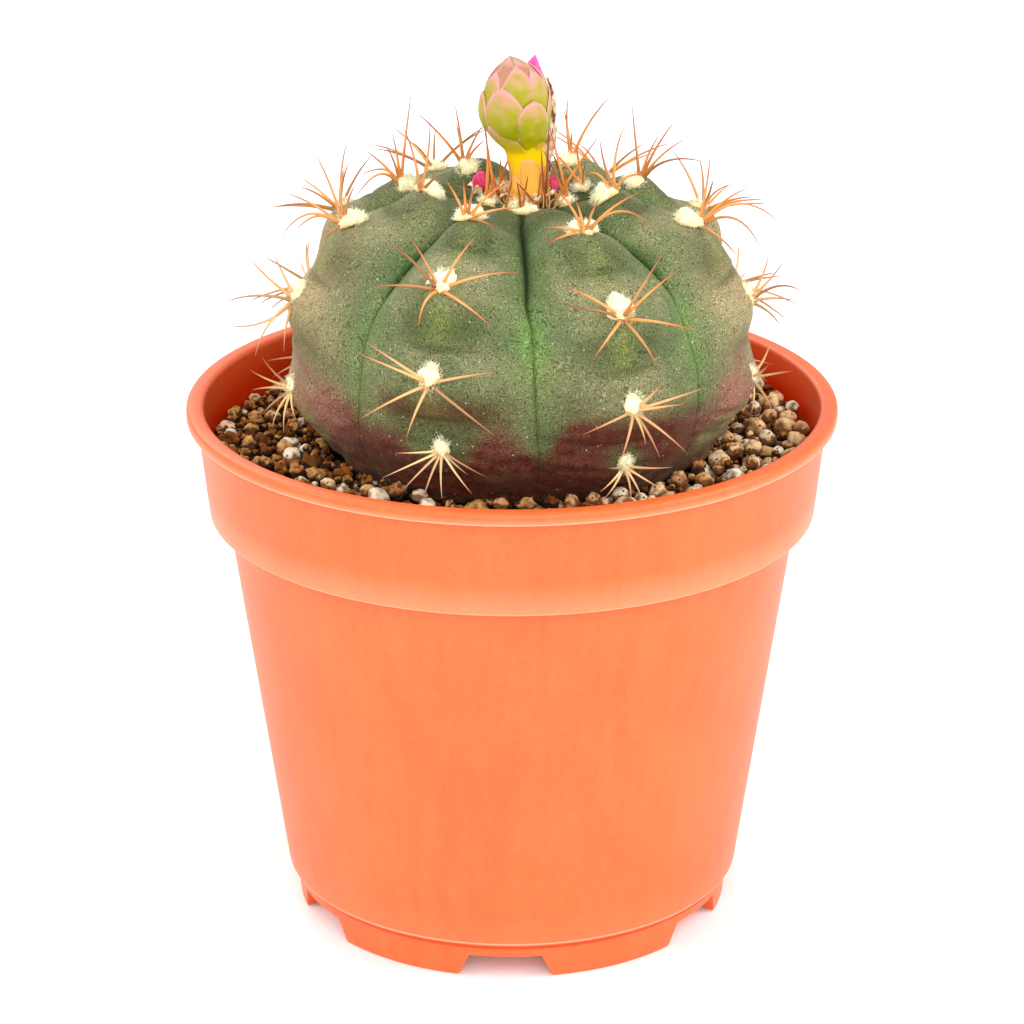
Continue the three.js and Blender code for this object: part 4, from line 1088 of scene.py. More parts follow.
# %% Spine tips read off the picture
# For each cushion: its spine tips' spots in the 1024 pixel frame. A third number is a spine's own bend.
TIPS = {
    "front_left_1": [(463, 179), (476, 184), (496, 229), (444, 178), (509, 182), (520, 208)],
    "front_left_2": [(386, 240), (409, 236), (478, 234), (520, 272), (493, 328), (418, 331, 0.2),
                     (369, 288)],
    "front_left_3": [(366, 342), (357, 353), (496, 372), (360, 419), (406, 439), (496, 437)],
    "front_left_4": [(396, 453), (382, 478), (401, 492), (423, 499), (442, 499), (472, 494), (468, 475),
                     (486, 477)],
    "front_right_1": [(555, 188), (575, 199), (600, 198), (644, 191), (656, 230, 0.25), (545, 228),
                      (547, 245)],
    "front_right_2": [(562, 286), (565, 306), (592, 361), (660, 371), (699, 332), (682, 267),
                      (665, 250, 0.2)],
    "front_right_3": [(582, 435), (620, 462), (646, 445), (660, 458), (687, 453), (685, 404), (707, 387),
                      (663, 383)],
    "front_right_4": [(608, 468), (600, 492), (605, 498), (631, 500), (642, 498), (660, 488), (673, 467)],
    "left_1": [(404, 129), (430, 122), (441, 175), (419, 192)],
    "left_2": [(316, 155), (347, 142), (286, 193), (281, 237, 0.3), (296, 231, 0.25), (323, 241),
               (355, 185)],
    "left_3": [(251, 260), (274, 255, 0.0), (225, 302, 0.08), (229, 326, -0.12), (255, 357, 0.12),
               (284, 352)],
    "left_4": [(250, 370), (262, 357), (252, 390), (262, 415), (272, 428), (284, 433), (296, 420)],
    "right_1": [(624, 127), (586, 176, 0.3), (648, 176, 0.25), (600, 140)],
    "right_2": [(710, 156), (733, 184, 0.2), (748, 188), (779, 222, 0.25), (760, 247, 0.3), (737, 256)],
    "right_3": [(768, 256), (783, 262), (801, 291, 0.2), (793, 300), (780, 325)],
    "right_4": [(770, 341), (768, 365), (794, 371), (751, 414), (773, 414)],
    "left_rear_1": [(366, 151), (361, 175, 0.3), (355, 199, 0.45), (386, 145), (392, 133), (406, 143),
                    (411, 94)],
    "right_rear_1": [(632, 105), (659, 135), (675, 121), (685, 139), (704, 162, 0.2)],
    "back_left_1": [(456, 122), (455, 105), (483, 125), (485, 140), (417, 113)],
    "back_right_1": [(564, 110), (568, 98), (610, 97), (572, 132)],
    "crown_1": [(517, 183), (528, 176)],
    "crown_2": [(485, 125), (497, 172), (505, 178)],
    "crown_3": [(542, 149), (548, 122), (551, 170), (566, 170)],
    "crown_4": [(500, 158), (513, 150)],
    "crown_5": [(553, 152), (577, 146), (585, 165)],
}
# Stray spines in the crown: the spots of a root in the wool and of its tip, and a tone from honey to brown
CROWN_STRAYS = [((545, 200), (541, 149), 1.0), ((546, 199), (549, 125), 1.0), ((540, 204), (516, 182), 1.0),
                ((496, 195), (484, 126), 0.2), ((564, 177), (552, 152), 1.0), ((552, 199), (599, 136), 0.1),
                ((505, 205), (512, 182), 0.6), ((537, 203), (541, 172), 0.8), ((500, 190), (488, 165), 0.3)]
CROWN_HEIGHT = 119.3
print("tips read off the picture:", sum(len(tips) for tips in TIPS.values()) + len(CROWN_STRAYS))

# %% From a tip in the picture to a spine in the round
SPINE_LEAST, SPINE_MOST = 6.5, 13.5
RISE_SHARE, BEND = 1.12, 0.05
# By age: the clock angles of a cushion's spines from up the rib, their steepness, and their length in mm
HABIT = [((-60, -15, 34, 85, 134, 205, 263), 26, 11.4), ((-60, 34, 85, 134, 180, 225, 263), 26, 11.6),
         ((-75, 75, 110, 150, 200, 245, 285), 26, 10.6), ((-95, -125, -158, 172, 140, 110, 88), 30, 8.2)]


def tip_on_sight(root, out, x, y):
    """The end of a spine from root whose tip is seen at a spot of the picture."""
    way = sight(x, y)
    nearest = CAMERA + way * ((root - CAMERA) @ way)
    aside = np.linalg.norm(nearest - root)
    length = np.clip(RISE_SHARE * aside, SPINE_LEAST, SPINE_MOST)
    along = math.sqrt(max(length ** 2 - aside ** 2, 0))
    return max(nearest - way * along, nearest + way * along, key=lambda end: (end - root) @ out)


def tip_by_clock(seat, clock, rise, length, dice):
    """The end of a spine that leaves its cushion at a clock angle."""
    turn = math.radians(clock + dice.uniform(-10, 10))
    rise = math.radians(rise + dice.uniform(-6, 8))
    level = math.cos(turn) * seat.up + math.sin(turn) * seat.right
    way = math.cos(rise) * level + math.sin(rise) * seat.out
    return seat.at(0, -seat.drop, 0.4) + length * dice.uniform(0.85, 1.08) * way


print("spines by rule on a cushion:", [len(clocks) for clocks, _, _ in HABIT])

# %% The line of every spine
def spine_lines():
    """Root, bend and tip of every spine, with its age and tone, by group of cushions."""
    dice = np.random.default_rng(81)
    lines = {group: [] for group in GROUPS}
    for group, members in GROUPS.items():
        for age, seat in enumerate(members):
            hub = seat.at(0, -seat.drop, 0.35)
            clocks, rise, length = HABIT[min(age, 3)]
            spots = TIPS.get(seat.name, ())
            ends = [(tip_on_sight(hub, seat.out, *spot[:2]), (*spot, BEND)[2]) for spot in spots]
            ends = ends or [(tip_by_clock(seat, clock, rise, length, dice), BEND) for clock in clocks]
            for tip, bend in ends:
                way = unit(tip - hub)
                root = hub + 0.45 * (way - (way @ seat.out) * seat.out)
                aside = unit(seat.out - (way @ seat.out) * way)
                bow = np.linalg.norm(tip - root) * 2 * bend * dice.uniform(0.7, 1.2)
                knee = (root + tip) / 2 + aside * bow
                lines[group].append((root - 0.5 * seat.out, knee, tip, age, dice.uniform()))
    for foot, end, tone in CROWN_STRAYS:
        way = sight(*foot)
        root = CAMERA + way * (CROWN_HEIGHT - CAMERA[2]) / way[2]
        tip = tip_on_sight(root, np.array([0, -0.3, 1.0]), *end)
        lines["crown"].append((root - [0, 0, 1.2], (root + tip) / 2 + [0, -0.2, 0], tip, 0, tone))
    return lines


SPINES = spine_lines()
print("spines:", sum(len(lines) for lines in SPINES.values()))

# %% [markdown]
# A spine is a slim horn: round, thickest just above its root, and drawn out to a needle point. It is swept
# as rings of seven points along a curve through its root, its bend and its tip. The same rings, flattened
# to ovals, make petals and bracts further down.

# %% Spines as swept horns
SPINE_ROWS, SPINE_SIDES, LAST_RING = 12, 7, 0.985


def ovals(line, one, wide, other, thick, sides):
    """Rings about the points of a line: wide one way and thick the other."""
    turn = np.linspace(0, 2 * math.pi, sides, endpoint=False)[None, :, None]
    return line + one * np.cos(turn) * wide + other * np.sin(turn) * thick


def horn(root, knee, tip, thick):
    """The points of one spine."""
    t = np.linspace(0, LAST_RING, SPINE_ROWS)[:, None, None]
    line = (1 - t) ** 2 * root + 2 * t * (1 - t) * knee + t ** 2 * tip
    way = unit(2 * (1 - t) * (knee - root) + 2 * t * (tip - knee))
    side = unit(np.cross(way, [0.31, 0.17, 0.93]))
    swell = thick * (1 + 0.25 * bell(t, 0.06, 0.06)) * (1 - t) ** 0.72 + 0.02
    return capped(line[0], ovals(line, side, swell, np.cross(way, side), swell, SPINE_SIDES), tip)


# The place along a spine of each of its points, from 0 at the root to 1 at the tip
ALONG = np.concatenate([[0], np.repeat(np.linspace(0, LAST_RING, SPINE_ROWS), SPINE_SIDES), [1]])
print("points of one spine:", len(ALONG))

# %% [markdown]
# Spine is dead, woody tissue with a horn-like gloss. It is honey yellow to orange, reddish brown at the
# tip, and older spines low on the plant bleach to cream. A fine grain runs along it.

# %% Honey-coloured spine horn
YOUNG_HORN = {0.0: "#B06A20", 0.12: "#DC8630", 0.45: "#F09C4A", 0.75: "#CC642C", 1.0: "#7C2E20"}
OLD_HORN = {0.0: "#E0B070", 0.2: "#F4D79C", 0.6: "#F2C78C", 1.0: "#B56A50"}


def spine_horn():
    finish = start_finish("honey_spine_horn", ior=1.54, roughness=0.38, inside=(0.1, 0.3, 1.0, 0.5, 0.25))
    names = ("along", "faded", "tone")
    along, faded, tone = (add(finish, "Attribute", attribute_name=name) for name in names)
    young, old = (add(finish, "ValToRGB", [along], stops) for stops in (YOUNG_HORN, OLD_HORN))
    darker = add(finish, "MapRange", [tone, 0.5, 1.0, 0.0, 0.75])
    colour = young
    for share, over in ((faded, old), (darker, "#7A3C18")):
        colour = add(finish, "Mix", [share, colour, over], data_type="RGBA")
    grain = add(finish, "TexNoise", [add(finish, "TexCoord"), 1 / (0.25 * MM), 2.0])
    return end_finish(finish, colour, grain, strength=0.3, depth=0.04)


spine_finish = spine_horn()

# %% The spines of each rib
# By age: how thick a spine is and how far it has faded
THICK, FADED = (0.28, 0.28, 0.28, 0.24, 0.28), (0.0, 0.05, 0.45, 0.85)


def spines(group, lines):
    copies = [horn(*line[:3], THICK[line[3]]) for line in lines]
    faded = [0.0 if group == "crown" else min(1.0, FADED[line[3]] + 0.3 * line[4]) for line in lines]
    points, faces = gather(copies, ring_faces(SPINE_ROWS, SPINE_SIDES))
    marks = {"along": np.tile(ALONG, len(lines)), "faded": np.repeat(faded, len(ALONG)),
             "tone": np.repeat([line[4] for line in lines], len(ALONG))}
    nodes = [f"areole_{seat.name}" for seat in GROUPS[group]]
    make_piece(f"spines_{group}", points, faces, spine_finish, "areole", nodes, marks)


for group, lines in SPINES.items():
    spines(group, lines)

# %% [markdown]
# ## The flower bud
# The bud is a bare, fleshy neck that swells to a head wrapped in broad scales. The scales are what an
# artichoke has: each hugs the head, bulges in its middle and thins to a pale pink, almost clear rim, and
# the lower ones lie over the upper ones. They are small curved blades, laid on the head by azimuth and
# height.

# %% The bud's neck and head
BUD_Y = 3.2
# The centre's x, the height and the radius of the bud's outline
BUD_RINGS = [
    (2.7, 119.0, 2.9), (2.7, 121, 2.8), (2.6, 123.3, 2.75), (2.1, 126.6, 3.3), (1.1, 129.5, 4.6),
    (0.55, 132, 5.3), (0.45, 134.5, 5.5), (0.6, 137.8, 5.0), (0.6, 139.8, 3.9), (0.15, 141.6, 2.1),
    (-0.5, 142.6, 0.3),
]
SCALE_ROOM = 0.75


class Body:
    """A round body with a bent axis, which scales are laid on: rings of (x, height, radius) at one y."""

    def __init__(self, rings, y):
        self.rings, self.y = spline(rings, np.linspace(0, 1, 200)), y

    def at(self, azimuth, height, lift=0.0):
        x, radius = (np.interp(height, self.rings[:, 1], self.rings[:, k]) for k in (0, 2))
        middle = np.stack(np.broadcast_arrays(x, self.y, height), -1)
        return middle + around(azimuth) * np.maximum(radius + lift, 0.05)[..., None]

    def core(self, room, rows, sides):
        """Points of the body inside its scales."""
        bottom, top = self.rings[0, 1], self.rings[-1, 1] - 0.4
        height = np.linspace(bottom, top, rows)[:, None] + np.zeros((1, sides))
        spots = self.at(0 * height + np.arange(sides) * 360 / sides, height, -room(height))
        first, last = self.rings[0, 0], self.rings[-1, 0]
        return capped([first, self.y, bottom - 0.3], spots, [last, self.y, top + 0.2])


bud_body = Body(BUD_RINGS, BUD_Y)
print("the bud is widest at", round(float(bud_body.rings[bud_body.rings[:, 2].argmax(), 1]), 1), "mm up")

# %% Scales laid on a body
SCALE_ROWS, SCALE_COLUMNS = 15, 13
# How far up a scale is widest, and its width at the foot as a share of that
WIDEST, AT_FOOT = 0.42, 0.62
# Width in mm of a scale's side rim at its foot, how much wider it is at the tip, and the tip's own rim
SIDE_RIM, SIDE_RIM_MORE, TIP_RIM = 0.35, 0.6, 1.6
# The head's radius in mm, which turns a scale's half width from degrees to mm
HEAD_RADIUS = 5


def blade_faces(rows, columns):
    """Triangles of a closed blade: a front sheet, a back sheet and the edge between them."""
    size = rows * columns
    index = np.arange(size).reshape(rows, columns)
    quads = np.stack([index[:-1, :-1], index[:-1, 1:], index[1:, 1:], index[1:, :-1]], -1).reshape(-1, 4)
    loop = np.concatenate([index[0, :], index[1:, -1], index[-1, -2::-1], index[-2:0:-1, 0]])
    after = np.roll(loop, -1)
    edge = np.stack([after, loop, loop + size, after + size], -1)
    quads = np.concatenate([quads, quads[:, ::-1] + size, edge])
    return np.concatenate([quads[:, :3], quads[:, [0, 2, 3]]])


def scale(body, azimuth, half, foot, tip, lift, thickness=0.4, lean=0.0, point=0.35, tuck=-0.8, ease=0.3):
    """One scale: its points, its faces, and marks for its rim and for how far up it each point lies."""
    v = np.linspace(0, 1, SCALE_ROWS)[:, None]
    u = np.linspace(-1, 1, SCALE_COLUMNS)[None]
    low = AT_FOOT + (1 - AT_FOOT) * np.sin(0.5 * math.pi * np.clip(v / WIDEST, 0, 1))
    high = np.sqrt(np.clip(1 - (np.clip(v - WIDEST, 0, 1) / (1 - WIDEST)) ** 2, 0, 1)) ** (1 + point)
    wide = np.where(v < WIDEST, low, np.maximum(high, 0.02))
    turn = azimuth + half * u * wide + lean * v ** 2
    height = foot + (tip - foot) * (v - 0.1 * u ** 2 * (1 - v))
    bulge = 0.55 * (1 - u ** 2) * np.sin(math.pi * np.clip(0.15 + 0.7 * v, 0, 1))
    cup = tuck + (lift - tuck) * step(v, 0, ease) + bulge * thickness
    thin = thickness * (1 - 0.8 * np.maximum(np.abs(u) ** 3, v ** 4))
    points = np.concatenate([body.at(turn, height, cup), body.at(turn, height, cup - thin)]).reshape(-1, 3)
    to_side = (1 - np.abs(u)) * np.radians(half) * HEAD_RADIUS * wide
    to_tip = (1 - v) * (tip - foot) * 0.9
    side_rim = np.clip(1 - to_side / (SIDE_RIM + SIDE_RIM_MORE * v), 0, 1) * (0.6 + 0.4 * v)
    rim = np.maximum(side_rim, np.clip(1 - to_tip / TIP_RIM, 0, 1)) * step(v, 0.12, 0.4)
    marks = {"rim": np.tile(rim.ravel(), 2), "up": np.tile((v + 0 * u).ravel(), 2)}
    return points, blade_faces(SCALE_ROWS, SCALE_COLUMNS), marks


print("faces of one scale:", len(blade_faces(SCALE_ROWS, SCALE_COLUMNS)))

# %% [markdown]
# The scales in front are laid where the picture has them, from the small one low on the neck to the two big
# ones that cross in the middle, and the rows go on round the back with the same overlap.

# %% Where the scales lie
# Azimuth, half width in degrees, foot and tip height, lift, lean of the tip, and how orange the scale is.
# A scale with -1 for orange is one of the dull inner ones.
SCALES = [
    (14, 38, 118.6, 126.6, 0.62, -8, 1.0), (-46, 22, 119.6, 123.4, 0.6, 0, 0.8),
    (140, 38, 119.4, 126.8, 0.6, 0, 0.9), (-120, 34, 119.4, 126.2, 0.6, 0, 0.9),
    (82, 24, 119.6, 124.6, 0.6, 0, 0.8), (-30, 42, 124.8, 132.0, 0.5, -18, 0.1),
    (60, 22, 126.2, 131.2, 0.45, 4, 0.5), (105, 36, 126.4, 131.8, 0.5, 0, 0.2),
    (165, 36, 126.2, 131.6, 0.5, 0, 0.1), (-110, 36, 126.4, 131.4, 0.5, 0, 0.1),
    (-13, 41, 127.6, 138.3, 0.5, -13, 0), (36, 35, 127.6, 136.3, 0.64, -5, 0),
    (96, 36, 128.4, 137.2, 0.5, 4, 0), (150, 36, 128.2, 137.8, 0.5, 0, 0),
    (-148, 36, 128.4, 137.0, 0.5, 0, 0), (-86, 34, 128.6, 137.0, 0.5, 8, 0),
    (6, 42, 132.0, 141.3, 0.12, 0, 0), (56, 34, 132.0, 140.6, 0.2, -4, 0),
    (112, 38, 133.0, 141.0, 0.12, 0, 0), (172, 38, 133.0, 141.2, 0.12, 0, 0),
    (-128, 38, 133.0, 140.8, 0.12, 0, 0), (-58, 34, 132.2, 140.2, 0.1, -4, 0),
    (-30, 40, 135.5, 142.4, -0.2, 0, -1), (34, 40, 136.0, 142.2, -0.3, 0, -1),
    (100, 36, 136.4, 142.2, -0.35, 0, -1), (165, 36, 136.2, 142.0, -0.3, 0, -1),
    (-100, 36, 136.2, 142.1, -0.35, 0, -1),
]
# By the height of a scale's foot: where the neck's scales end, and where the next three rows start
NECK_END, FOOT_ROW, BIG_ROW, TOP_ROW = 120, 124, 127, 131


def bud_scales():
    shapes = []
    for azimuth, half, foot, tip, lift, lean, orange in SCALES:
        point = 0.22 if NECK_END < foot < TOP_ROW else 0.1 * (foot > TOP_ROW)
        ease = 0.85 if FOOT_ROW < foot < BIG_ROW else 0.3
        lift += 0.35 - SCALE_ROOM
        blade = azimuth, half, foot, tip, lift
        points, faces, marks = scale(bud_body, *blade, lean=lean, point=point, ease=ease)
        marks["orange"] = np.full(len(points), orange)
        marks["rim"] *= 0.65 if foot < BIG_ROW else 1 - 0.5 * max(orange, 0)
        shapes.append((points, faces, marks))
    return joined(shapes)


print("scales on the bud:", len(SCALES))

# %% [markdown]
# Bud tissue is juicy and lets light through, most at the thin rims, which show pink. The neck runs from
# orange at its foot through yellow to the green of the head, and the innermost scales at the top are a dull
# brownish pink.

# %% Fleshy bud scale
NECK_TONES = {0.0: "#F8B458", 0.16: "#FCC040", 0.3: "#F8CE00", 0.38: "#D2BE00", 0.48: "#A6A200",
              0.75: "#A8A23C", 1.0: "#A98A6A"}
SCALE_TONES = {0.0: "#807E00", 0.34: "#8E8C04", 0.62: "#A29A28", 0.84: "#BE9A66", 1.0: "#D89088"}
# Heights in mm: the neck's tones run from the first to the second, and the green sets in over the others
TONES_FROM, TONES_TO, GREEN_FROM, GREEN_TO = 119, 143, 127.5, 130.5


def bud_flesh(name, has_rim):
    finish = start_finish(name, ior=1.4, roughness=0.45, gloss=0.15, inside=(0.25, 0.7, 1.0, 0.8, 0.15))
    place = add(finish, "TexCoord")
    height = add(finish, "SeparateXYZ", [place]).node.outputs["Z"]
    share = add(finish, "MapRange", [height, TONES_FROM * MM, TONES_TO * MM])
    colour = add(finish, "ValToRGB", [share], NECK_TONES)
    patch = add(finish, "TexNoise", [place, 1 / (1.8 * MM), 4.0])
    dots = add(finish, "TexVoronoi", [place, 1 / (1.0 * MM)])
    layers = [(add(finish, "MapRange", [dots, 0.05, 0.13, 0.3, 0.0]), "#F4E6B0")]
    if has_rim:
        names = ("up", "orange", "rim")
        up, orange, rim = (add(finish, "Attribute", attribute_name=mark) for mark in names)
        grown = add(finish, "MapRange", [add(finish, "Math", [up, patch]), 0.3, 1.5])
        leafy = add(finish, "MapRange", [height, GREEN_FROM * MM, GREEN_TO * MM, 0.0, 0.85])
        inner = add(finish, "Math", [orange, -1.0], operation="MULTIPLY", use_clamp=True)
        uneven = add(finish, "Math", [patch, 0.9], operation="MULTIPLY")
        faint = add(finish, "MapRange", [add(finish, "Math", [rim, uneven]), 0.62, 1.3, 0.0, 0.95],
                    interpolation_type="SMOOTHSTEP")
        green = add(finish, "ValToRGB", [grown], SCALE_TONES)
        layers = [(leafy, green), (orange, "#F8B650"), (inner, "#B4806A"), (faint, "#EE9C98"), *layers]
    for shown, over in layers:
        colour = add(finish, "Mix", [shown, colour, over], data_type="RGBA")
    fine = add(finish, "TexNoise", [place, 1 / (0.4 * MM), 3.0])
    return end_finish(finish, colour, fine, strength=0.3, depth=0.08)


scale_finish = bud_flesh("fleshy_bud_scale", True)
neck_finish = bud_flesh("fleshy_bud_neck", False)

# %% The bud
NECK_ROWS, NECK_SIDES = 60, 36
neck = bud_body.core(lambda height: SCALE_ROOM * step(height, 125, 130), NECK_ROWS, NECK_SIDES)
make_piece("bud_neck", neck, ring_faces(NECK_ROWS, NECK_SIDES), neck_finish, "bud_scale", ["flower_bud"])
points, faces, marks = bud_scales()
make_piece("bud_scales", points, faces, scale_finish, "bud_scale", ["flower_bud"], marks)

# %% [markdown]
# ## Pink buds, the withered flower and what lies round them
# Two buds no bigger than a rice grain show beside the neck, in vivid magenta. Behind the bud stands what an
# earlier flower left: a shrivelled brown tube with a rag of pink petal at its top. Dry, papery bracts lie
# round the neck's foot where it breaks out of the crown's wool. All of it is thin tissue, streaked the way
# it grew: fresh petal glows in the light, the dead tube is dull and brown, and a bract is pale and papery.

# %% Petal, dry tissue and papery bract
def thin_tissue(name, stops, size, ior, roughness, inside=None):
    finish = start_finish(name, ior, roughness, inside=inside)
    stretched = add(finish, "Mapping", {"Vector": add(finish, "TexCoord"), "Scale": (1, 1, 0.35)})
    streak = add(finish, "TexNoise", [stretched, 1 / (size * MM), 4.0])
    colour = add(finish, "ValToRGB", [add(finish, "MapRange", [streak, 0.3, 0.7])], stops)
    return end_finish(finish, colour, streak, strength=0.6, depth=0.12)


WITHERED_TONES = {0.0: "#4E1E18", 0.3: "#8A5240", 0.5: "#E8D8B4", 0.7: "#CFA48C", 1.0: "#8A8650"}
BRACT_TONES = {0.0: "#D98A4A", 0.4: "#F6D6A2", 1.0: "#FFF2D8"}
# For each: its tones, a streak's width in mm, the IOR, the roughness, and how light goes in
petal_finish = thin_tissue("magenta_petal", {0.0: "#C4166C", 1.0: "#F66CC0"}, 1.3, 1.4, 0.5,
                           (0.3, 0.5, 1.0, 0.3, 0.6))
young_bud_finish = thin_tissue("crimson_bud_skin", {0.0: "#C41450", 1.0: "#FF5C9C"}, 0.9, 1.4, 0.45,
                               (0.2, 0.5, 1.0, 0.3, 0.5))
withered_finish = thin_tissue("withered_flower_tissue", WITHERED_TONES, 0.8, 1.45, 0.8)
bract_finish = thin_tissue("papery_bract", BRACT_TONES, 0.9, 1.45, 0.75, (0.25, 0.4, 1.0, 0.7, 0.4))

# %% The pink buds
# For each: azimuth and place on the skin, radius, height
PINK_BUDS = {"pink_bud_left": (-119, 0.09, 1.4, 3.5), "pink_bud_right": (133, 0.08, 1.05, 2.9)}
# Shares of the height and of the radius, from its foot to its tip
PINK_OUTLINE = [(0, 0.5), (0.2, 0.9), (0.45, 1.0), (0.72, 0.8), (0.92, 0.35), (1, 0.08)]
PINK_ROWS, PINK_SIDES, PINK_SCALES = 16, 16, 6


def pink_bud(name, azimuth, place, radius, height):
    foot = skin_point(azimuth, place, 0.3)
    body = Body([(foot[0], foot[2] + height * h, radius * r) for h, r in PINK_OUTLINE], foot[1])
    core = body.core(lambda h: 0.15 + 0 * h, PINK_ROWS, PINK_SIDES)
    shapes = [(core, ring_faces(PINK_ROWS, PINK_SIDES), {})]
    for turn in range(PINK_SCALES):
        top = foot[2] + height * (0.97 if turn % 2 else 0.8)
        shapes.append(scale(body, 360 / PINK_SCALES * turn + 20, half=42, foot=foot[2] + 0.1, tip=top,
                            lift=-0.05, thickness=0.16, lean=6, point=0.8, tuck=-0.2))
    make_piece(name, *joined(shapes)[:2], young_bud_finish, "petal", [name])


for name, size in PINK_BUDS.items():
    pink_bud(name, *size)

# %% The withered flower
# Centre and radius of each ring of the dry tube
WITHERED = [
    (4.8, 10.8, 119.6, 1.4), (5.2, 10.7, 122.5, 1.1), (5.5, 10.5, 126, 1.4), (5.5, 10.2, 130, 1.5),
    (5.3, 9.8, 134, 1.3), (4.9, 9.6, 137, 0.9),
]
TUBE_ROWS, TUBE_SIDES = 60, 24


def crumpled_tube():
    line = spline(WITHERED, np.linspace(0, 1, TUBE_ROWS))[:, None]
    middle, radius = line[..., :3], line[..., 3:]
    spots = middle + around(np.arange(TUBE_SIDES) * 360 / TUBE_SIDES) * radius
    creased = 1 + 0.22 * lumps(spots * [1, 1, 0.35], 0.9, 91) + 0.1 * lumps(spots, 0.6, 92)
    spots = middle + (spots - middle) * np.clip(creased, 0.5, 1.25)[..., None]
    return capped(middle[0], spots, middle[-1] + [0, 0, 0.2])


make_piece("withered_tube", crumpled_tube(), ring_faces(TUBE_ROWS, TUBE_SIDES), withered_finish,
           "withered_tissue", ["withered_flower_tube"])

# %% The rag of petals on the tube
# The petal that shows, as heights with the x of its left and right edge, and two that hang behind it
PETAL_Y, PETAL_EDGES = 9.5, [(136.4, 4.4, 5.3), (137.3, 3.7, 5.0), (138.4, 3.0, 4.65), (139.4, 2.5, 4.3),
                             (140.1, 2.95, 4.05), (140.9, 3.65, 3.75)]
PETAL_FOOT, RAG_TIPS = np.array(WITHERED[-1][:3]) - [0, 0, 0.3], [(-160, 1.5, 0.6), (-110, 1.3, 0.6)]
PETAL_ROWS, PETAL_SIDES = 24, 12


def petal_rag():
    """One broad petal that stands up from the tube's mouth, and shrivelled, creased blades behind it."""
    t = np.linspace(0, 1, PETAL_ROWS)[:, None, None]
    height, left, right = np.split(spline(PETAL_EDGES, t[..., 0]), 3, axis=-1)
    wide = (right - left) / 2
    middle = np.concatenate([(left + right) / 2, PETAL_Y + 0 * left, height], -1)
    broad = ovals(middle, [1, 0, 0], wide, [0, 1, 0], 0.16 * np.minimum(1, wide), PETAL_SIDES)
    broad[..., 1] += 0.5 * (broad[..., 0] - middle[..., 0]) ** 2 / wide[..., 0]
    copies = [capped(broad[0].mean(0), broad, broad[-1].mean(0))]
    for number, (azimuth, length, width) in enumerate(RAG_TIPS):
        out = around(azimuth)
        line = PETAL_FOOT + out * (0.35 + 0.5 * np.sin(2.2 * t)) + [0, 0, 1] * t * length
        taper = np.clip(1 - t ** 1.6, 0.04, 1) * np.clip(0.5 + t * 2, 0, 1)
        spots = ovals(line, around(azimuth + 90), width * taper, out, 0.22 * taper, PETAL_SIDES)
        spots = spots + 0.25 * lumps(spots * [1, 1, 0.5], 1.0, 93 + number)[..., None] * taper * out
        copies.append(capped(line[0], spots, line[-1]))
    return gather(copies, ring_faces(PETAL_ROWS, PETAL_SIDES))


make_piece("withered_petals", *petal_rag(), petal_finish, "petal", ["withered_flower_petals"])

# %% Papery bracts round the neck
BRACTS, BRACT_ROWS, BRACT_SIDES, BRACT_THICK = 15, 10, 10, 0.12
NECK_FOOT = np.array([BUD_RINGS[0][0], BUD_Y, 118.6])
# The azimuth and reach of the flaps that lie beside the left pink bud
BUD_BRACTS, BUD_BRACTS_AT = ((-75, 2.2), (-20, 1.9), (-130, 2.0)), skin_point(-119, 0.09, 0.3)


def bract(foot, azimuth, start, reach, arch, turn_over, rise, wide, crumple, seed):
    """A torn flap that leaves a foot at an azimuth, arches and droops."""
    t = np.linspace(0, 1, BRACT_ROWS)[:, None, None]
    height = arch * np.sin(math.pi * t * turn_over) + rise * t
    line = foot + around(azimuth) * (start + (reach - start) * t) + [0, 0, 1] * height
    taper = wide * np.clip(1 - t ** 2.5, 0.1, 1)
    spots = ovals(line, around(azimuth + 90), taper, [0, 0, 1], BRACT_THICK, BRACT_SIDES)
    spots = spots + (crumple * lumps(spots, 0.7, seed))[..., None] * [0.7, 0.7, 1]
    return capped(line[0], spots, line[-1])


def bracts():
    """Some droop over the wool round the neck, others stand against the neck."""
    dice = np.random.default_rng(101)
    copies = []
    for number in range(BRACTS):
        azimuth = 360 * number / BRACTS + dice.uniform(-14, 14)
        reach, rise, wide = dice.uniform(3.3, 5.4), dice.uniform(-0.3, 2.2), dice.uniform(0.5, 1.3)
        copies.append(bract(NECK_FOOT, azimuth, start=2.4, reach=reach, arch=0.9, turn_over=0.7,
                            rise=rise - 0.6, wide=wide, crumple=0.35, seed=101 + number))
    for azimuth, reach in BUD_BRACTS:
        copies.append(bract(BUD_BRACTS_AT, azimuth, start=0.9, reach=reach, arch=1.1, turn_over=0.6,
                            rise=0, wide=1, crumple=0.25, seed=121))
    return gather(copies, ring_faces(BRACT_ROWS, BRACT_SIDES))


make_piece("papery_bracts", *bracts(), bract_finish, "areole", ["areole_crown_1"])

# %% Straw between the buds
STRAWS, STRAW_FOOT = 42, NECK_FOOT - [0, 0, 0.4]


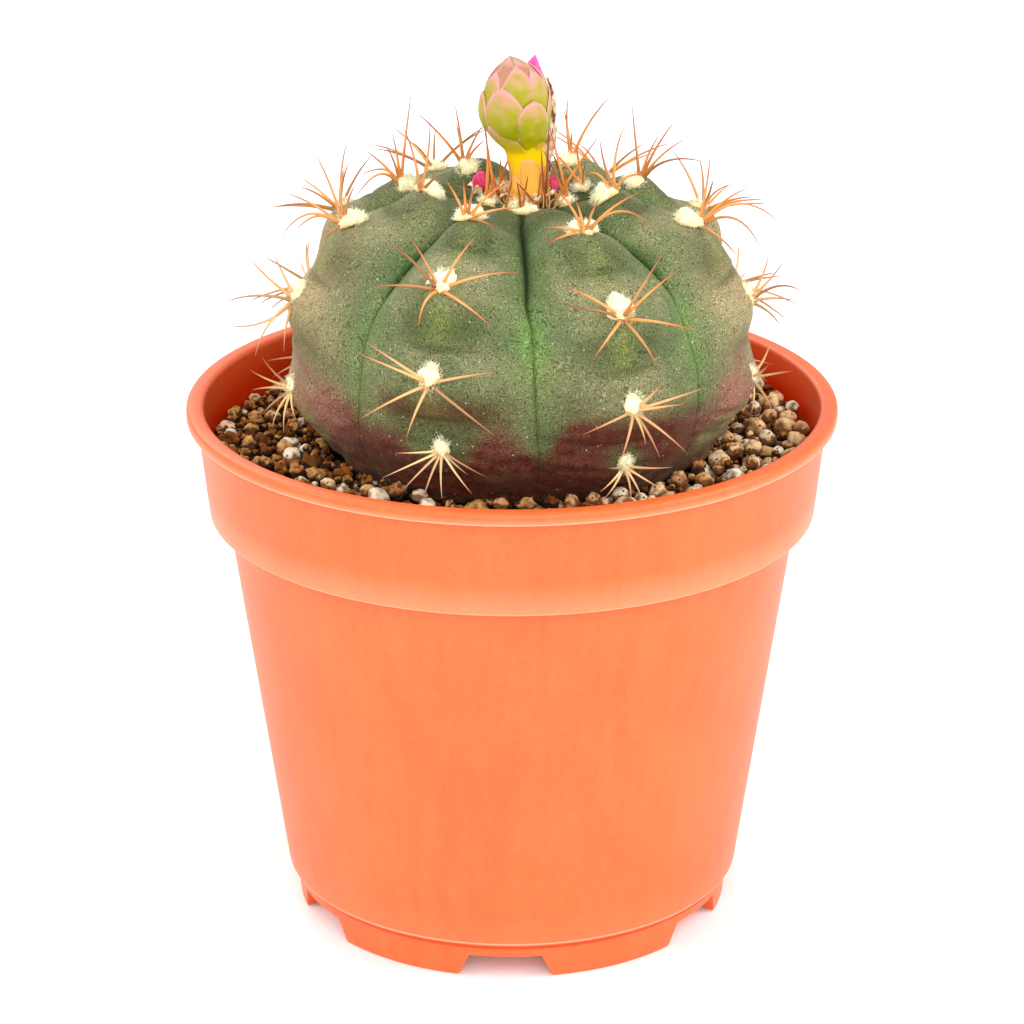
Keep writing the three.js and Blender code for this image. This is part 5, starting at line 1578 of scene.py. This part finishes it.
def straw():
    """Thin dry bristles of young cushions that are still packed together round the neck."""
    dice = np.random.default_rng(111)
    copies = []
    for _ in range(STRAWS):
        azimuth, reach = dice.uniform(-180, 180), dice.uniform(2.9, 6.2)
        root = STRAW_FOOT + around(azimuth) * reach
        way = unit(around(azimuth) * dice.uniform(-0.2, 0.9) + [0, 0, 1] + 0.35 * dice.normal(size=3))
        tip = root + way * dice.uniform(1.8, 4.2)
        knee = (root + tip) / 2 + 0.4 * dice.normal(size=3)
        copies.append(horn(root, knee, tip, dice.uniform(0.08, 0.15)))
    pale = np.repeat(dice.uniform(0.3, 1, STRAWS), len(ALONG))
    marks = {"along": 0.8 * np.tile(ALONG, STRAWS), "faded": pale, "tone": 1 - pale}
    return *gather(copies, ring_faces(SPINE_ROWS, SPINE_SIDES)), marks


points, faces, marks = straw()
make_piece("crown_straw", points, faces, spine_finish, "areole", ["areole_crown_1"], marks)

# %% [markdown]
# ## The studio
# The picture has a white sweep and soft light from all round: a bright overcast of softboxes, high in
# front, at both sides and behind, with the right one a little the brighter. A big pale floor, a nearly
# white world and four large round area lights give that. The floor is matt paper, which has no shine to
# speak of.

# %% The floor
FLOOR_SIZE = 8.0


def paper():
    glow = {"Emission Color": linear("#FFFFFF"), "Emission Strength": 0.07}
    finish = start_finish("matt_white_paper", ior=1.5, roughness=0.9, gloss=0.1, more=glow)
    tooth = add(finish, "TexNoise", [add(finish, "TexCoord"), 0.9 / MM, 2.0])
    colour = add(finish, "ValToRGB", [tooth], {0.0: "#F6F6F6", 1.0: "#FAFAFA"})
    finish.node_tree.links.new(colour, finish.node_tree.nodes["Principled BSDF"].inputs["Base Color"])
    return finish


side = FLOOR_SIZE / 2
corners = [(-side, -side, 0), (side, -side, 0), (side, side, 0), (-side, side, 0)]
mesh = bpy.data.meshes.new("floor")
mesh.from_pydata(corners, [], [(0, 1, 2, 3)])
mesh.materials.append(paper())
sheet = bpy.data.objects.new("floor", mesh)
bpy.context.scene.collection.objects.link(sheet)
print("the floor measures", FLOOR_SIZE, "m each way")

# %% The lights and the world
# For each light: place in metres, size in metres, power in watts
LIGHTS = {"key": ((0.1, -1.0, 0.65), 0.8, 7.1), "left": ((-1.0, -0.3, 0.75), 0.8, 5.5),
          "right": ((1.0, -0.25, 0.75), 0.8, 7.8), "back": ((-0.45, 0.85, 0.8), 0.9, 5.0)}
TARGET = (0, 0, 0.08)
WORLD_STRENGTH = 0.75

for name, (place, size, power) in LIGHTS.items():
    lamp = bpy.data.lights.new(name, "AREA")
    lamp.shape, lamp.size, lamp.energy = "DISK", size, power
    holder = bpy.data.objects.new(name, lamp)
    holder.location = place
    away = np.array(place) - TARGET
    tilt = math.acos(away[2] / np.linalg.norm(away))
    holder.rotation_euler = (tilt, 0, math.atan2(away[1], away[0]) + math.pi / 2)
    bpy.context.scene.collection.objects.link(holder)
world = bpy.data.worlds.new("white_room")
world.use_nodes = True
world.node_tree.nodes["Background"].inputs["Color"].default_value = linear("#FFFFFF")
world.node_tree.nodes["Background"].inputs["Strength"].default_value = WORLD_STRENGTH
bpy.context.scene.world = world
bpy.context.scene.view_settings.view_transform = "Standard"
print("lights:", len(LIGHTS), "power in watts:", sum(power for _, _, power in LIGHTS.values()))
